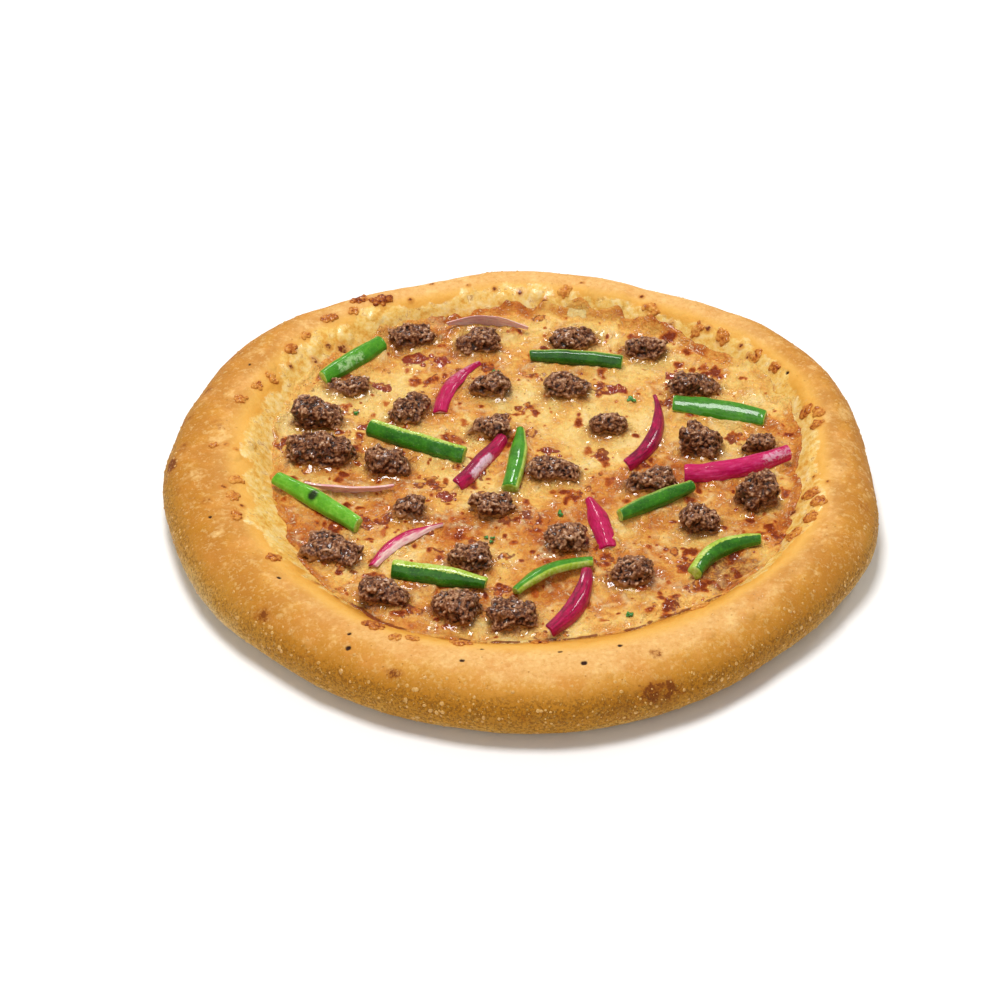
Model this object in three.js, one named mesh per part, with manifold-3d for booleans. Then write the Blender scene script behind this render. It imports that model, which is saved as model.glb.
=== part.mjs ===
// Beef pizza, 25 cm across: a dough crust with a fat rolled rim, a sheet of melted cheese lying in it,
// and crumbled beef, green pepper strips and red onion strips on the cheese.
// Millimetres, +Z up. The origin is on the floor under the middle of the pizza, and -Y is the front.

import * as THREE from 'three';
import { ImprovedNoise } from 'three/addons/math/ImprovedNoise.js';
import { mergeVertices } from 'three/addons/utils/BufferGeometryUtils.js';
import Module from 'manifold-3d';

const wasm = await Module();
wasm.setup();

// Driving dimensions of the dough. The lists run round the pizza in equal steps from +X towards +Y.
const OUTER_RADIUS = [
  124, 124.5, 127.5, 128.5, 123.5, 123.5, 124.5, 122.5, 123.5, 128.5, 128, 126.5,
  126, 124, 124, 122, 123, 124, 125, 125, 124, 122, 124, 126.5,
];
const CHEESE_RADIUS = [97, 106, 103, 101.5, 101.5, 95, 86, 85.5, 89.5, 87, 88.5, 94.5];
const CREST_HEIGHT = [22, 22.5, 22, 22, 22.5, 23, 22.5, 22, 22, 22.5, 22, 22.5];
const BULGE_HEIGHT = 11;
const FOOT_INSET = 11;
const CREST_SHARE = 0.45;
const SLOPE_FULLNESS = 1.5;
const FLOOR_HEIGHT = 8.8;
const CHEESE_TUCK = 8;
const DOUGH_RIPPLE = 0.9;
const DOUGH_RIPPLE_LENGTH = 26;

// Puffed-up places in the dough: angle in degrees, radius, length round the rim, width, height
const PUFF = [
  [174, 97, 16, 12, 1.6], [76, 107, 20, 11, 1.8], [142, 112, 24, 14, 1], [20, 116, 26, 14, 1],
  [300, 112, 30, 16, 0.8], [222, 108, 26, 16, 1],
];

// Driving dimensions of the cheese
const CHEESE_LEVEL = 12.2;
const CHEESE_EDGE = 1.2;
const CHEESE_RIPPLE = 0.8;
const CHEESE_RIPPLE_LENGTH = 13;
const CLIMB_START = 0.84;

// How far a beef crumble has sunk into the cheese, and how far round it the cheese lies level
const BEEF_SUNK = 1.8;
const LEVEL_REACH = [1.25, 1.9];
const LOW_LOBE = 0.8;
const LARGE_CRUMBLE = 1500;

// The gap between pieces that lie on each other, and the finer one between toppings
const GAP = 0.35;
const TOPPING_GAP = 0.3;
const SETTLE_STEP = 0.1;
const TAPER_SHARE = 0.4;

// How fine the faceted solids are
const SECTORS = 96;
const LOWER_STEPS = 3;
const UPPER_STEPS = 4;
const SLOPE_STEPS = 5;
const TUCK_STEPS = 2;
const CHEESE_RINGS = SECTORS / 6;
const STRIP_STEPS = 6;

// Beef crumbles: place [x, y], width along X, depth along Y, height over the cheese, turn in degrees,
// and how many lobes they are pressed together from
const BEEF = [
  [[-39, 84], 17, 9, 6, 18, 2],
  [[-16, 82], 16, 10, 7.5, 12, 2],
  [[20, 84], 17, 10, 6.5, 10, 2],
  [[45, 78], 16, 10, 7.5, -8, 2],
  [[63, 55], 18, 10, 7.5, 0, 2],
  [[-62, 55], 15, 7.5, 4.5, 5, 2],
  [[-39, 41], 15, 11, 7.5, 60, 2],
  [[-11, 55], 14, 10, 7, -10, 2],
  [[17, 54], 16, 10.5, 7.5, -6, 2],
  [[31, 32], 13, 10, 9, 0, 1],
  [[64, 20], 13.5, 12, 10.5, -20, 2],
  [[85, 19], 12, 9, 9.5, 0, 1],
  [[-73, 36], 17, 12, 9, -12, 2],
  [[-71, 14], 24, 12, 9.5, -10, 3],
  [[-47, 8], 15, 11, 8.5, 0, 2],
  [[-11, 30], 14, 10, 6, 0, 2],
  [[12, 5], 18, 9.5, 7, -8, 2],
  [[-39, -16], 11, 10, 6.5, 0, 2],
  [[-9.5, -15], 15, 10, 7, 20, 2],
  [[45, -1], 17, 9.5, 7, 6, 2],
  [[62, -24], 14, 10.5, 8, 10, 2],
  [[82, -11], 13.5, 12, 12.5, 25, 2],
  [[-64, -40], 20, 12, 7, -20, 2],
  [[-18, -44], 15.5, 10.5, 7.5, -10, 2],
  [[16, -34], 13.5, 11, 8, 0, 1],
  [[37, -52], 14.5, 11.5, 8.5, 0, 2],
  [[-46, -64], 16, 10, 8, -12, 2],
  [[-23, -71], 15.5, 13, 8.5, -25, 2],
  [[-3, -75], 16, 12.5, 8, 8, 2],
];

// Strips: middle of the chord [x, y], chord length, heading of the chord in degrees, bow of the middle
// to the left of the heading, width, thickness, lean of the skin to the front in degrees, the share of
// the width that is left at the start and the end, and the least height of the middle line over the
// cheese where beef lies under the strip
const PEPPER = [
  [[-60.8, 67.8], 30, 45, 0.3, 7.2, 4, 40, [0.85, 0.85]],
  [[20.4, 70.6], 34, -8, 0.4, 6, 3.6, 66, [0.7, 0.9]],
  [[71, 38.6], 34, -17, 0.8, 7.8, 3.4, 26, [0.9, 0.85]],
  [[-37, 20], 38, -26, -0.4, 7, 4, 56, [0.95, 0.9]],
  [[-2.1, 10.6], 34.5, -97, 0.6, 7, 4.4, -20, [0.45, 0.95]],
  [[-71, -15], 39, -41, 0.6, 6.8, 4.2, 40, [0.8, 0.9]],
  [[46.8, -14.5], 31, 33, 0.2, 6.2, 5, 45, [0.72, 0.72]],
  [[70.2, -45.9], 29, 37, 5, 6.2, 5, 40, [0.9, 0.7]],
  [[-28, -56.2], 33, -13.5, 0.4, 7.4, 4.4, 62, [1, 0.6], 3.4],
  [[11, -55], 31, 32, 4, 7, 4, -30, [0.5, 0.7]],
];
const ONION = [
  [[-12, 89], 30, 2, 3.5, 6.2, 2, -80, [0.3, 0.25]],
  [[-22, 56], 33, -115, -3.5, 6.6, 2.2, -5, [0.4, 0.9]],
  [[43, 28], 43, -105, 6, 6.6, 2.2, 42, [0.25, 0.8]],
  [[76, 6], 39, 15, -2, 7.5, 2.4, 52, [0.95, 0.8]],
  [[-60, -4], 31, -2, -2, 5, 2, -66, [0.25, 0.4]],
  [[-14, 9.9], 31.8, -121, 0.6, 6.2, 2.4, 34, [0.85, 0.9]],
  [[-39, -36], 33, 44, 4, 6.4, 2.4, -5, [0.6, 0.22]],
  [[26.4, -24], 27.5, -78, 0.6, 7.7, 2.2, 12, [0.45, 0.88]],
  [[16, -68], 36, -112, 3, 7.2, 2.6, 36, [0.7, 0.75]],
];

// Browned cheese that has baked fast to the dough: angle in degrees, radius, length round the rim,
// width across it
const BAKED_ON = [
  [121, 115, 7, 4.6], [117.5, 111, 8, 5], [129, 111.5, 6.4, 3.8], [124, 110, 4, 3], [136, 109, 4, 3],
  [141, 107.5, 5.2, 4.4], [160, 106, 5, 4], [154, 105, 4.8, 3], [150, 104, 3.8, 4.6], [175, 108, 3, 3],
  [185.5, 99.5, 4.4, 5], [191, 101.5, 5, 4.2], [197, 102.5, 6, 3.6], [211.5, 98.5, 4.6, 4.6],
  [240.5, 100, 7, 5], [246, 103.5, 3.6, 4], [249, 101, 5, 3.2], [258, 98, 7, 4.2], [273.5, 91.5, 6.6, 4.4],
  [309, 94, 7, 4.2], [352, 101.5, 5, 6.4], [348.5, 104.5, 5, 5], [344, 103, 5.5, 4.4], [339.5, 99.5, 7, 4.6],
  [18, 107, 4, 4.4], [15.5, 110, 4, 4], [12.5, 107.5, 4, 4.4], [33, 110, 4, 3.6], [38.5, 109.5, 3.4, 4.4],
  [47, 108.5, 5, 4.6], [52.5, 107, 3.6, 5.6], [81, 107, 4.4, 4.4], [63, 107, 6.6, 4.4],
];
const BAKED_ON_HEIGHT = 0.42;

// Blisters of red sauce and oil in the cheese: place [x, y], width, depth
const SAUCE_BLISTER = [
  [[-38, 74], 8, 5], [[-29, 73], 4.6, 4.4], [[-50, 57], 5.4, 4.6], [[-54, 33], 6.5, 4.6],
  [[35, 56], 6, 4.4], [[56, 64], 5, 4], [[-26, -7], 5.4, 5], [[10, 19], 5, 4],
];
const BLISTER_HEIGHT = 0.45;

// Chopped herb flecks stuck in the cheese: place [x, y], length, heading in degrees
const HERB = [
  [[-59, 41], 4, 20], [[-10, 66.5], 3.4, -40], [[41, 47.5], 4.2, 10],
  [[-10.5, -32], 3.6, 0], [[36, -73.5], 3.6, 35], [[13, -17.5], 3.4, 20],
];
const HERB_WIDTH = 0.55;
const HERB_HEIGHT = 1.3;

// Colours and finish of the pieces
const DOUGH = { color: 0xe8b46a, roughness: 0.75, metalness: 0 };
const CHEESE = { color: 0xf6cf7c, roughness: 0.35, metalness: 0 };
const MEAT = { color: 0x5b3a26, roughness: 0.6, metalness: 0 };
const GREEN = { color: 0x3f8f2e, roughness: 0.3, metalness: 0 };
const PURPLE = { color: 0xb0246a, roughness: 0.3, metalness: 0 };

const TURN = 2 * Math.PI;
const UP = new THREE.Vector3(0, 0, 1);
const noiseField = new ImprovedNoise();
const radians = THREE.MathUtils.degToRad;
const smooth = THREE.MathUtils.smoothstep;
const lerp = THREE.MathUtils.lerp;

// A size that changes smoothly round the pizza, through values at equal angles
function around(values) {
  const count = values.length;
  const value = (index) => values[((index % count) + count) % count];
  return (angle) => {
    const place = (angle / TURN) * count;
    const index = Math.floor(place);
    const step = place - index;
    const [before, from, to, after] = [-1, 0, 1, 2].map((offset) => value(index + offset));
    const curve = 2 * before - 5 * from + 4 * to - after;
    const twist = 3 * (from - to) + after - before;
    return from + 0.5 * step * (to - before + step * (curve + step * twist));
  };
}

const outerRadius = around(OUTER_RADIUS);
const cheeseRadius = around(CHEESE_RADIUS);
const crestHeight = around(CREST_HEIGHT);

function ripple(x, y, z, length, seed) {
  return noiseField.noise(x / length + seed, y / length - seed, z / length + 0.5);
}

// How far the dough is puffed up at a spot
function puffHeight(x, y) {
  return PUFF.reduce((height, [degrees, radius, length, width, rise]) => {
    const angle = radians(degrees);
    const across = x * Math.cos(angle) + y * Math.sin(angle) - radius;
    const along = y * Math.cos(angle) - x * Math.sin(angle);
    return height + rise * Math.exp(-((2 * across / width) ** 2) - ((2 * along / length) ** 2));
  }, 0);
}

// The rim's section at one angle: from the crest out, over the bulge and under to the foot, and from
// the crest in, down the slope and under the cheese to the floor of the dough
function rimSection(angle) {
  const outer = outerRadius(angle);
  const border = cheeseRadius(angle);
  const crest = outer - CREST_SHARE * (outer - border);
  const top = crestHeight(angle);
  return { outer, border, crest, top, floor: border - CHEESE_TUCK };
}

function slopeHeight(section, radius) {
  const share = smooth(section.crest - radius, 0, section.crest - section.floor);
  return lerp(section.top, FLOOR_HEIGHT, share ** SLOPE_FULLNESS);
}

function doughHeight(radius, angle) {
  const section = rimSection(angle);
  if (radius < section.crest) return slopeHeight(section, radius);
  const share = Math.min(1, (radius - section.crest) / (section.outer - section.crest));
  return BULGE_HEIGHT + (section.top - BULGE_HEIGHT) * Math.sqrt(1 - share * share);
}

function rimProfile(section) {
  const points = [];
  for (let step = 0; step < LOWER_STEPS; step += 1) {
    const turn = (step / LOWER_STEPS) * (TURN / 4);
    const radius = section.outer - FOOT_INSET * (1 - Math.sin(turn));
    points.push([radius, BULGE_HEIGHT * (1 - Math.cos(turn))]);
  }
  for (let step = 0; step < UPPER_STEPS; step += 1) {
    const turn = (step / UPPER_STEPS) * (TURN / 4);
    const radius = lerp(section.crest, section.outer, Math.cos(turn));
    points.push([radius, lerp(BULGE_HEIGHT, section.top, Math.sin(turn))]);
  }
  for (let step = 0; step < SLOPE_STEPS; step += 1) {
    const radius = lerp(section.crest, section.border, step / SLOPE_STEPS);
    points.push([radius, slopeHeight(section, radius)]);
  }
  for (let step = 0; step <= TUCK_STEPS; step += 1) {
    const radius = lerp(section.border, section.floor, step / TUCK_STEPS);
    points.push([radius, slopeHeight(section, radius)]);
  }
  return points;
}

const BORDER_RING = LOWER_STEPS + UPPER_STEPS + SLOPE_STEPS;
const FLOOR_RING = BORDER_RING + TUCK_STEPS;

// One ring of vertices round the dough. The foot stays flat, and so does the floor under the cheese.
function doughRing(index) {
  const ring = [];
  for (let sector = 0; sector < SECTORS; sector += 1) {
    const angle = (sector / SECTORS) * TURN;
    const [radius, height] = rimProfile(rimSection(angle))[index];
    const x = Math.cos(angle);
    const y = Math.sin(angle);
    const level = index === 0 || index === FLOOR_RING;
    const swell = DOUGH_RIPPLE * ripple(radius * x, radius * y, height, DOUGH_RIPPLE_LENGTH, 3);
    const lift = level ? 0 : swell + puffHeight(radius * x, radius * y);
    ring.push([(radius + swell) * x, (radius + swell) * y, height + lift]);
  }
  return ring;
}

// Builds one closed mesh from vertices and triangles
class Surface {
  constructor() {
    this.points = [];
    this.faces = [];
  }

  add(points) {
    const first = this.points.length;
    this.points.push(...points);
    return points.map((_, index) => first + index);
  }

  // A band of triangles between two rings with the same number of vertices
  band(lower, upper) {
    lower.forEach((_, index) => {
      const next = (index + 1) % lower.length;
      this.faces.push([lower[index], lower[next], upper[next]]);
      this.faces.push([lower[index], upper[next], upper[index]]);
    });
  }

  // The same band with its faces the other way out
  bandInside(lower, upper) {
    lower.forEach((_, index) => {
      const next = (index + 1) % lower.length;
      this.faces.push([lower[index], upper[next], lower[next]]);
      this.faces.push([lower[index], upper[index], upper[next]]);
    });
  }

  // A fan from one middle vertex to a ring
  fan(ring, middle, upwards) {
    const [centre] = this.add([middle]);
    ring.forEach((corner, index) => {
      const next = ring[(index + 1) % ring.length];
      this.faces.push(upwards ? [centre, corner, next] : [centre, next, corner]);
    });
  }

  solid() {
    const vertProperties = new Float32Array(this.points.flat());
    const triVerts = new Uint32Array(this.faces.flat());
    return new wasm.Manifold(new wasm.Mesh({ numProp: 3, vertProperties, triVerts }));
  }
}

// A closed geometry as a solid, with its corners merged
function solidOf(geometry) {
  geometry.deleteAttribute('normal');
  geometry.deleteAttribute('uv');
  const merged = mergeVertices(geometry, 1e-4);
  const vertProperties = new Float32Array(merged.attributes.position.array);
  const triVerts = new Uint32Array(merged.index.array);
  return new wasm.Manifold(new wasm.Mesh({ numProp: 3, vertProperties, triVerts }));
}

function joined(solids) {
  return solids.reduce((whole, solid) => whole.add(solid));
}

// How far out the lobes reach from their shared middle in one direction, in shares of the whole
function lobedReach(direction, lobes) {
  const hits = lobes.map(({ middle, radii }) => {
    const to = direction.clone().divide(radii);
    const from = middle.clone().divide(radii);
    const square = to.lengthSq();
    const half = to.dot(from);
    return (half + Math.sqrt(Math.max(0, half * half - square * (from.lengthSq() - 1)))) / square;
  });
  return Math.max(...hits);
}

const ONE_LOBE = [{ middle: new THREE.Vector3(), radii: new THREE.Vector3(0.5, 0.5, 0.5) }];

// A rounded, uneven lump: a ball drawn out to its lobes, pulled square and dented
function lump(form) {
  const { place, size, seed, turn = 0, tilt = 0, square = 0, dents = 0, detail = 0, lobes = ONE_LOBE } = form;
  const geometry = new THREE.IcosahedronGeometry(1, detail);
  geometry.rotateX(seed * 1.7);
  geometry.rotateZ(seed * 2.3);
  const spots = geometry.attributes.position;
  const spot = new THREE.Vector3();
  for (let index = 0; index < spots.count; index += 1) {
    spot.fromBufferAttribute(spots, index);
    const longest = Math.max(Math.abs(spot.x), Math.abs(spot.y), Math.abs(spot.z));
    const dent = ripple(spot.x * 1.6, spot.y * 1.6, spot.z * 1.6, 1, seed * 5.3);
    const reach = lobedReach(spot, lobes) * lerp(1, 1 / longest, square) * (1 + dents * dent);
    spots.setXYZ(index, spot.x * reach, spot.y * reach, spot.z * reach);
  }
  geometry.scale(...size);
  geometry.rotateY(radians(tilt));
  geometry.rotateZ(radians(turn));
  geometry.translate(...place);
  return solidOf(geometry);
}

function raised(ring, height) {
  return ring.map(([x, y, z]) => [x, y, z + height]);
}

function polar(angle, radius) {
  return [radius * Math.cos(angle), radius * Math.sin(angle)];
}

// Browned cheese on the dough: flat lumps that follow the slope they sit on
function bakedOnLumps() {
  return BAKED_ON.map(([degrees, radius, length, width], index) => {
    const angle = radians(degrees);
    const [x, y] = polar(angle, radius);
    const rise = doughHeight(radius + 1, angle) - doughHeight(radius - 1, angle);
    const height = BAKED_ON_HEIGHT * width + 0.8;
    const slope = THREE.MathUtils.radToDeg(Math.atan2(rise, 2));
    return lump({
      place: [x, y, doughHeight(radius, angle)],
      size: [width, length, height],
      turn: degrees,
      tilt: -slope,
      dents: 0.35,
      seed: index + 1,
      detail: 0,
    });
  });
}

// The dough, its whole surface raised by lift
function doughBody(lift = 0) {
  const surface = new Surface();
  let lower = surface.add(raised(doughRing(0), lift));
  surface.fan(lower, [0, 0, lift], false);
  for (let index = 1; index <= FLOOR_RING; index += 1) {
    const ring = surface.add(raised(doughRing(index), lift));
    surface.band(lower, ring);
    lower = ring;
  }
  surface.fan(lower, [0, 0, FLOOR_HEIGHT + lift], true);
  return surface.solid();
}

// The cheese's top before anything lies on it: uneven, and drawn up the dough's slope at its edge
function meltedHeight(x, y) {
  const angle = Math.atan2(y, x);
  const share = Math.hypot(x, y) / cheeseRadius(angle);
  const section = rimSection(angle);
  const puff = puffHeight(...polar(angle, section.border));
  const edge = slopeHeight(section, section.border) + puff + GAP + CHEESE_EDGE;
  const level = lerp(CHEESE_LEVEL, edge, smooth(share, CLIMB_START, 1) ** 1.5);
  const waves = CHEESE_RIPPLE * ripple(x, y, 0, CHEESE_RIPPLE_LENGTH, 8);
  return level + (1 - smooth(share, 0.9, 1)) * waves;
}

// How far a spot is from a beef crumble's middle, where 1 is the crumble's outline
function beefReach([[beefX, beefY], width, depth, , turn], x, y) {
  const angle = radians(turn);
  const across = (x - beefX) * Math.cos(angle) + (y - beefY) * Math.sin(angle);
  const along = (y - beefY) * Math.cos(angle) - (x - beefX) * Math.sin(angle);
  return Math.hypot(across / (width / 2), along / (depth / 2));
}

// The cheese's top as it sets: level round each beef crumble that has sunk into it
function cheeseHeight(x, y) {
  return BEEF.reduce((height, crumble) => {
    const near = 1 - smooth(beefReach(crumble, x, y), ...LEVEL_REACH);
    return near > 0 ? lerp(height, meltedHeight(...crumble[0]), near) : height;
  }, meltedHeight(x, y));
}

// The cheese's top: a middle vertex and rings with six more vertices each, out to the border ring
function cheeseTopRing(index) {
  const count = 6 * index;
  const share = index / CHEESE_RINGS;
  const ring = [];
  for (let step = 0; step < count; step += 1) {
    const angle = (step / count) * TURN;
    const [x, y] = polar(angle, share * cheeseRadius(angle));
    ring.push([x, y, cheeseHeight(x, y)]);
  }
  return ring;
}

// Triangles between a ring of six times index vertices and the next ring out
function growRing(surface, inner, outer, index) {
  for (let side = 0; side < 6; side += 1) {
    for (let step = 0; step < index; step += 1) {
      const near = inner[(side * (index - 1) + step) % inner.length];
      const far = outer[side * index + step];
      const farNext = outer[(side * index + step + 1) % outer.length];
      surface.faces.push([near, far, farNext]);
      if (step < index - 1) {
        const nearNext = inner[(side * (index - 1) + step + 1) % inner.length];
        surface.faces.push([near, farNext, nearNext]);
      }
    }
  }
}

// Flecks of chopped herb, and blisters of sauce, fused to the cheese
function flecks() {
  return HERB.map(([[x, y], length, heading], index) => lump({
    place: [x, y, cheeseHeight(x, y) + 0.2],
    size: [length, length * HERB_WIDTH, HERB_HEIGHT],
    turn: heading,
    dents: 0.3,
    seed: index + 41,
    detail: 0,
  }));
}

function blisters() {
  return SAUCE_BLISTER.map(([[x, y], width, depth], index) => lump({
    place: [x, y, cheeseHeight(x, y)],
    size: [width, depth, 1 + BLISTER_HEIGHT * depth],
    dents: 0.2,
    seed: index + 61,
    detail: 0,
  }));
}

// The sheet of cheese, its top raised by lift and its underside by gap over the dough
function cheeseSheet(lift = 0, gap = GAP) {
  const surface = new Surface();
  let inner = surface.add([[0, 0, cheeseHeight(0, 0) + lift]]);
  for (let index = 1; index < CHEESE_RINGS; index += 1) {
    const ring = surface.add(raised(cheeseTopRing(index), lift));
    growRing(surface, inner, ring, index);
    inner = ring;
  }
  const border = surface.add(raised(doughRing(BORDER_RING), GAP + CHEESE_EDGE + lift));
  growRing(surface, inner, border, CHEESE_RINGS);
  let lower = surface.add(raised(doughRing(BORDER_RING), gap));
  surface.band(lower, border);
  for (let index = BORDER_RING + 1; index <= FLOOR_RING; index += 1) {
    const ring = surface.add(raised(doughRing(index), gap));
    surface.bandInside(lower, ring);
    lower = ring;
  }
  surface.fan(lower, [0, 0, FLOOR_HEIGHT + gap], false);
  return surface.solid();
}

// The lobes of a crumble, in shares of its size: side by side, every other one lower and narrower
function beefLobes(count, index) {
  const lobes = [];
  for (let lobe = 0; lobe < count; lobe += 1) {
    const half = count === 1 ? 0.5 : 0.56 - 0.1 * count;
    const share = count === 1 ? 0 : (2 * lobe) / (count - 1) - 1;
    const shrink = (lobe + index) % 2 === 0 ? 1 : LOW_LOBE;
    const aside = 0.1 * ripple(index, lobe, 0, 1.7, 2);
    lobes.push({
      middle: new THREE.Vector3(share * (0.5 - half), aside, (shrink - 1) / 2),
      radii: new THREE.Vector3(half, 0.5 * shrink, 0.5 * shrink),
    });
  }
  return lobes;
}

// A beef crumble: one to three uneven lobes, its foot sunk in the cheese
function beefLump([[x, y], width, depth, height, turn, lobes], index) {
  const whole = height + BEEF_SUNK;
  return lump({
    place: [x, y, meltedHeight(x, y) + height - whole / 2],
    size: [width, depth, whole],
    turn,
    square: 0.5,
    dents: 0.3,
    seed: index * 3 + 1,
    detail: width * depth * height > LARGE_CRUMBLE ? 2 : 1,
    lobes: beefLobes(lobes, index),
  });
}

// The sections across a strip, as shares of its width and thickness. The first half is the skin.
const PEPPER_SECTION = [
  [0.5, 0.05], [0.3, 0.42], [0, 0.5], [-0.3, 0.42], [-0.5, 0.05], [-0.42, -0.48], [0, -0.36], [0.42, -0.48],
];
const ONION_SECTION = [
  [0.5, -0.4], [0.28, 0.24], [0, 0.5], [-0.28, 0.24], [-0.5, -0.4], [-0.24, -0.34], [0, -0.26], [0.24, -0.34],
];

// The middle line of a strip: bowed in plan, and draped over the cheese at its ends and middle
function stripLine([at, length, heading, bow], lift) {
  const angle = radians(heading);
  const spot = (share) => {
    const along = (share - 0.5) * length;
    const aside = bow * (1 - (2 * share - 1) ** 2);
    const x = at[0] + along * Math.cos(angle) - aside * Math.sin(angle);
    const y = at[1] + along * Math.sin(angle) + aside * Math.cos(angle);
    return new THREE.Vector3(x, y, 0);
  };
  const levels = [0.1, 0.5, 0.9].map((share) => cheeseHeight(spot(share).x, spot(share).y) + lift);
  const sag = levels[1] - (levels[0] + levels[2]) / 2;
  return (share) => {
    const place = spot(share);
    place.z = lerp(levels[0], levels[2], share) + sag * (1 - (2 * share - 1) ** 2);
    return place;
  };
}

function stripRing(strip, section, line, share, grow) {
  const [, , heading, , width, thick, lean, ends] = strip;
  const place = line(share);
  const along = line(share + 0.01).sub(line(share - 0.01)).normalize();
  const aside = new THREE.Vector3().crossVectors(along, UP).normalize();
  if (Math.cos(radians(heading)) < 0) aside.negate();
  const out = UP.clone().multiplyScalar(Math.cos(radians(lean)));
  out.addScaledVector(aside, Math.sin(radians(lean)));
  out.addScaledVector(along, -out.dot(along)).normalize();
  const across = new THREE.Vector3().crossVectors(out, along);
  const opened = lerp(ends[0], 1, smooth(share, 0, TAPER_SHARE));
  const taper = lerp(opened, ends[1], smooth(share, 1 - TAPER_SHARE, 1));
  return section.map(([side, face]) => {
    const point = place.clone();
    point.addScaledVector(across, side * (width * taper + 2 * grow));
    point.addScaledVector(out, face * (thick * lerp(taper, 1, 0.5) + 2 * grow));
    return point.toArray();
  });
}

function stripSolid(strip, section, lift, grow = 0) {
  const surface = new Surface();
  const line = stripLine(strip, lift);
  const reach = grow / strip[1];
  const rings = [];
  for (let step = 0; step <= STRIP_STEPS; step += 1) {
    const share = lerp(-reach, 1 + reach, step / STRIP_STEPS);
    rings.push(surface.add(stripRing(strip, section, line, share, grow)));
  }
  for (let step = 0; step < STRIP_STEPS; step += 1) surface.band(rings[step], rings[step + 1]);
  surface.fan(rings[0], line(-reach).toArray(), false);
  surface.fan(rings[STRIP_STEPS], line(1 + reach).toArray(), true);
  return surface.solid();
}

// Lifts a strip until it lies just clear of what is under it
function settledLift(strip, section, bed) {
  let lift = strip[8] ?? 0;
  while (!stripSolid(strip, section, lift).intersect(bed).isEmpty()) lift += SETTLE_STEP;
  return lift;
}

// Lays strips on the bed, and gives each one's solid and the room that it takes up with its gap
function laidStrips(strips, section, bed) {
  return strips.map((strip) => {
    const lift = settledLift(strip, section, bed);
    const solid = stripSolid(strip, section, lift);
    const room = stripSolid(strip, section, lift, TOPPING_GAP);
    return { solid, room };
  });
}

function meshOf(name, solid, finish) {
  const { vertProperties, triVerts } = solid.getMesh();
  const geometry = new THREE.BufferGeometry();
  geometry.setAttribute('position', new THREE.BufferAttribute(new Float32Array(vertProperties), 3));
  geometry.setIndex(new THREE.BufferAttribute(new Uint32Array(triVerts), 1));
  geometry.computeVertexNormals();
  const mesh = new THREE.Mesh(geometry, new THREE.MeshStandardMaterial(finish));
  mesh.name = name;
  return mesh;
}

function numbered(kind, index) {
  return `${kind}_${String(index + 1).padStart(2, '0')}`;
}

const dough = joined([doughBody(), ...bakedOnLumps()]);
const sheet = joined([cheeseSheet(), ...flecks(), ...blisters()]);
const bed = joined([doughBody(TOPPING_GAP), cheeseSheet(TOPPING_GAP, -TOPPING_GAP)]);
const peppers = laidStrips(PEPPER, PEPPER_SECTION, bed);
const onions = laidStrips(ONION, ONION_SECTION, joined([bed, ...peppers.map(({ room }) => room)]));
const taken = joined([bed, ...peppers.map(({ room }) => room), ...onions.map(({ room }) => room)]);
const crumbles = BEEF.map((crumble, index) => beefLump(crumble, index).subtract(taken));

const pizza = new THREE.Group();
pizza.add(meshOf('crust', dough, DOUGH));
pizza.add(meshOf('cheese', sheet, CHEESE));
crumbles.forEach((solid, index) => pizza.add(meshOf(numbered('beef', index), solid, MEAT)));
peppers.forEach(({ solid }, index) => pizza.add(meshOf(numbered('pepper', index), solid, GREEN)));
onions.forEach(({ solid }, index) => pizza.add(meshOf(numbered('onion', index), solid, PURPLE)));

const middle = new THREE.Box3().setFromObject(pizza).getCenter(new THREE.Vector3());
pizza.position.set(-middle.x, -middle.y, 0);

export default pizza;
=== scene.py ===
# Beef pizza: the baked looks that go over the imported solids.
# Lengths are in millimetres, about the middle of the rings, until a mesh is made from them.

import math

import bmesh
import bpy
import numpy as np
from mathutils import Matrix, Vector
from mathutils.bvhtree import BVHTree


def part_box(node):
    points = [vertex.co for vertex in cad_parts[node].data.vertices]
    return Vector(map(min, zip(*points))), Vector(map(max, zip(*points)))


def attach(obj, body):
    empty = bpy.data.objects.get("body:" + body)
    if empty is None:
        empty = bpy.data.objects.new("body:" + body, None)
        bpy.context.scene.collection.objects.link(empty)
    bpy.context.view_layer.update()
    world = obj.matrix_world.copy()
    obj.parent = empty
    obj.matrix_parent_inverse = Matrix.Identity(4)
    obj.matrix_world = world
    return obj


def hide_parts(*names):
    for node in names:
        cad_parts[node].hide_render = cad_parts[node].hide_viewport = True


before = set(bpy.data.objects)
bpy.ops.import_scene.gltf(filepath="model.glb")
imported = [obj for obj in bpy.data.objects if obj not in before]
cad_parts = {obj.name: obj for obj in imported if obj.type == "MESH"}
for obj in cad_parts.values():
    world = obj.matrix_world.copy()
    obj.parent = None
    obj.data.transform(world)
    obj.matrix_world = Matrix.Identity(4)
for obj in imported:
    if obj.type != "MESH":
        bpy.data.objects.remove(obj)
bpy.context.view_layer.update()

MM = 0.001
MIDDLE = np.array([0.906, 0.060, 0.0])
TURN = 2 * math.pi
DOWN = Vector((0, 0, -1))

# The camera, read from the photograph's outline
ELEVATION = 38.0
DISTANCE = 1300.0
LENS = 134.0
AIM = np.array([-7.4, -7.3, 11.0])

# How fine the pieces are
DOUGH_AROUND = 704
DOUGH_ACROSS = 132
DOUGH_CASTS = 150
CHEESE_RINGS = 178
MAP_PITCH = 0.5
MAP_HALF = 112.0
STRIP_STEPS = 64
BEEF_VOXEL = 0.33
KNOB_VOXEL = 0.3

# How many small things there are
SHREDS = 760
BROWN_SPOTS = 900
WALL_BUBBLES = 1700
BEADS_ON_A_BLISTER = 9
BEADS_ON_A_PATCH = 7
LEAVES_IN_A_FLECK = 3

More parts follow.
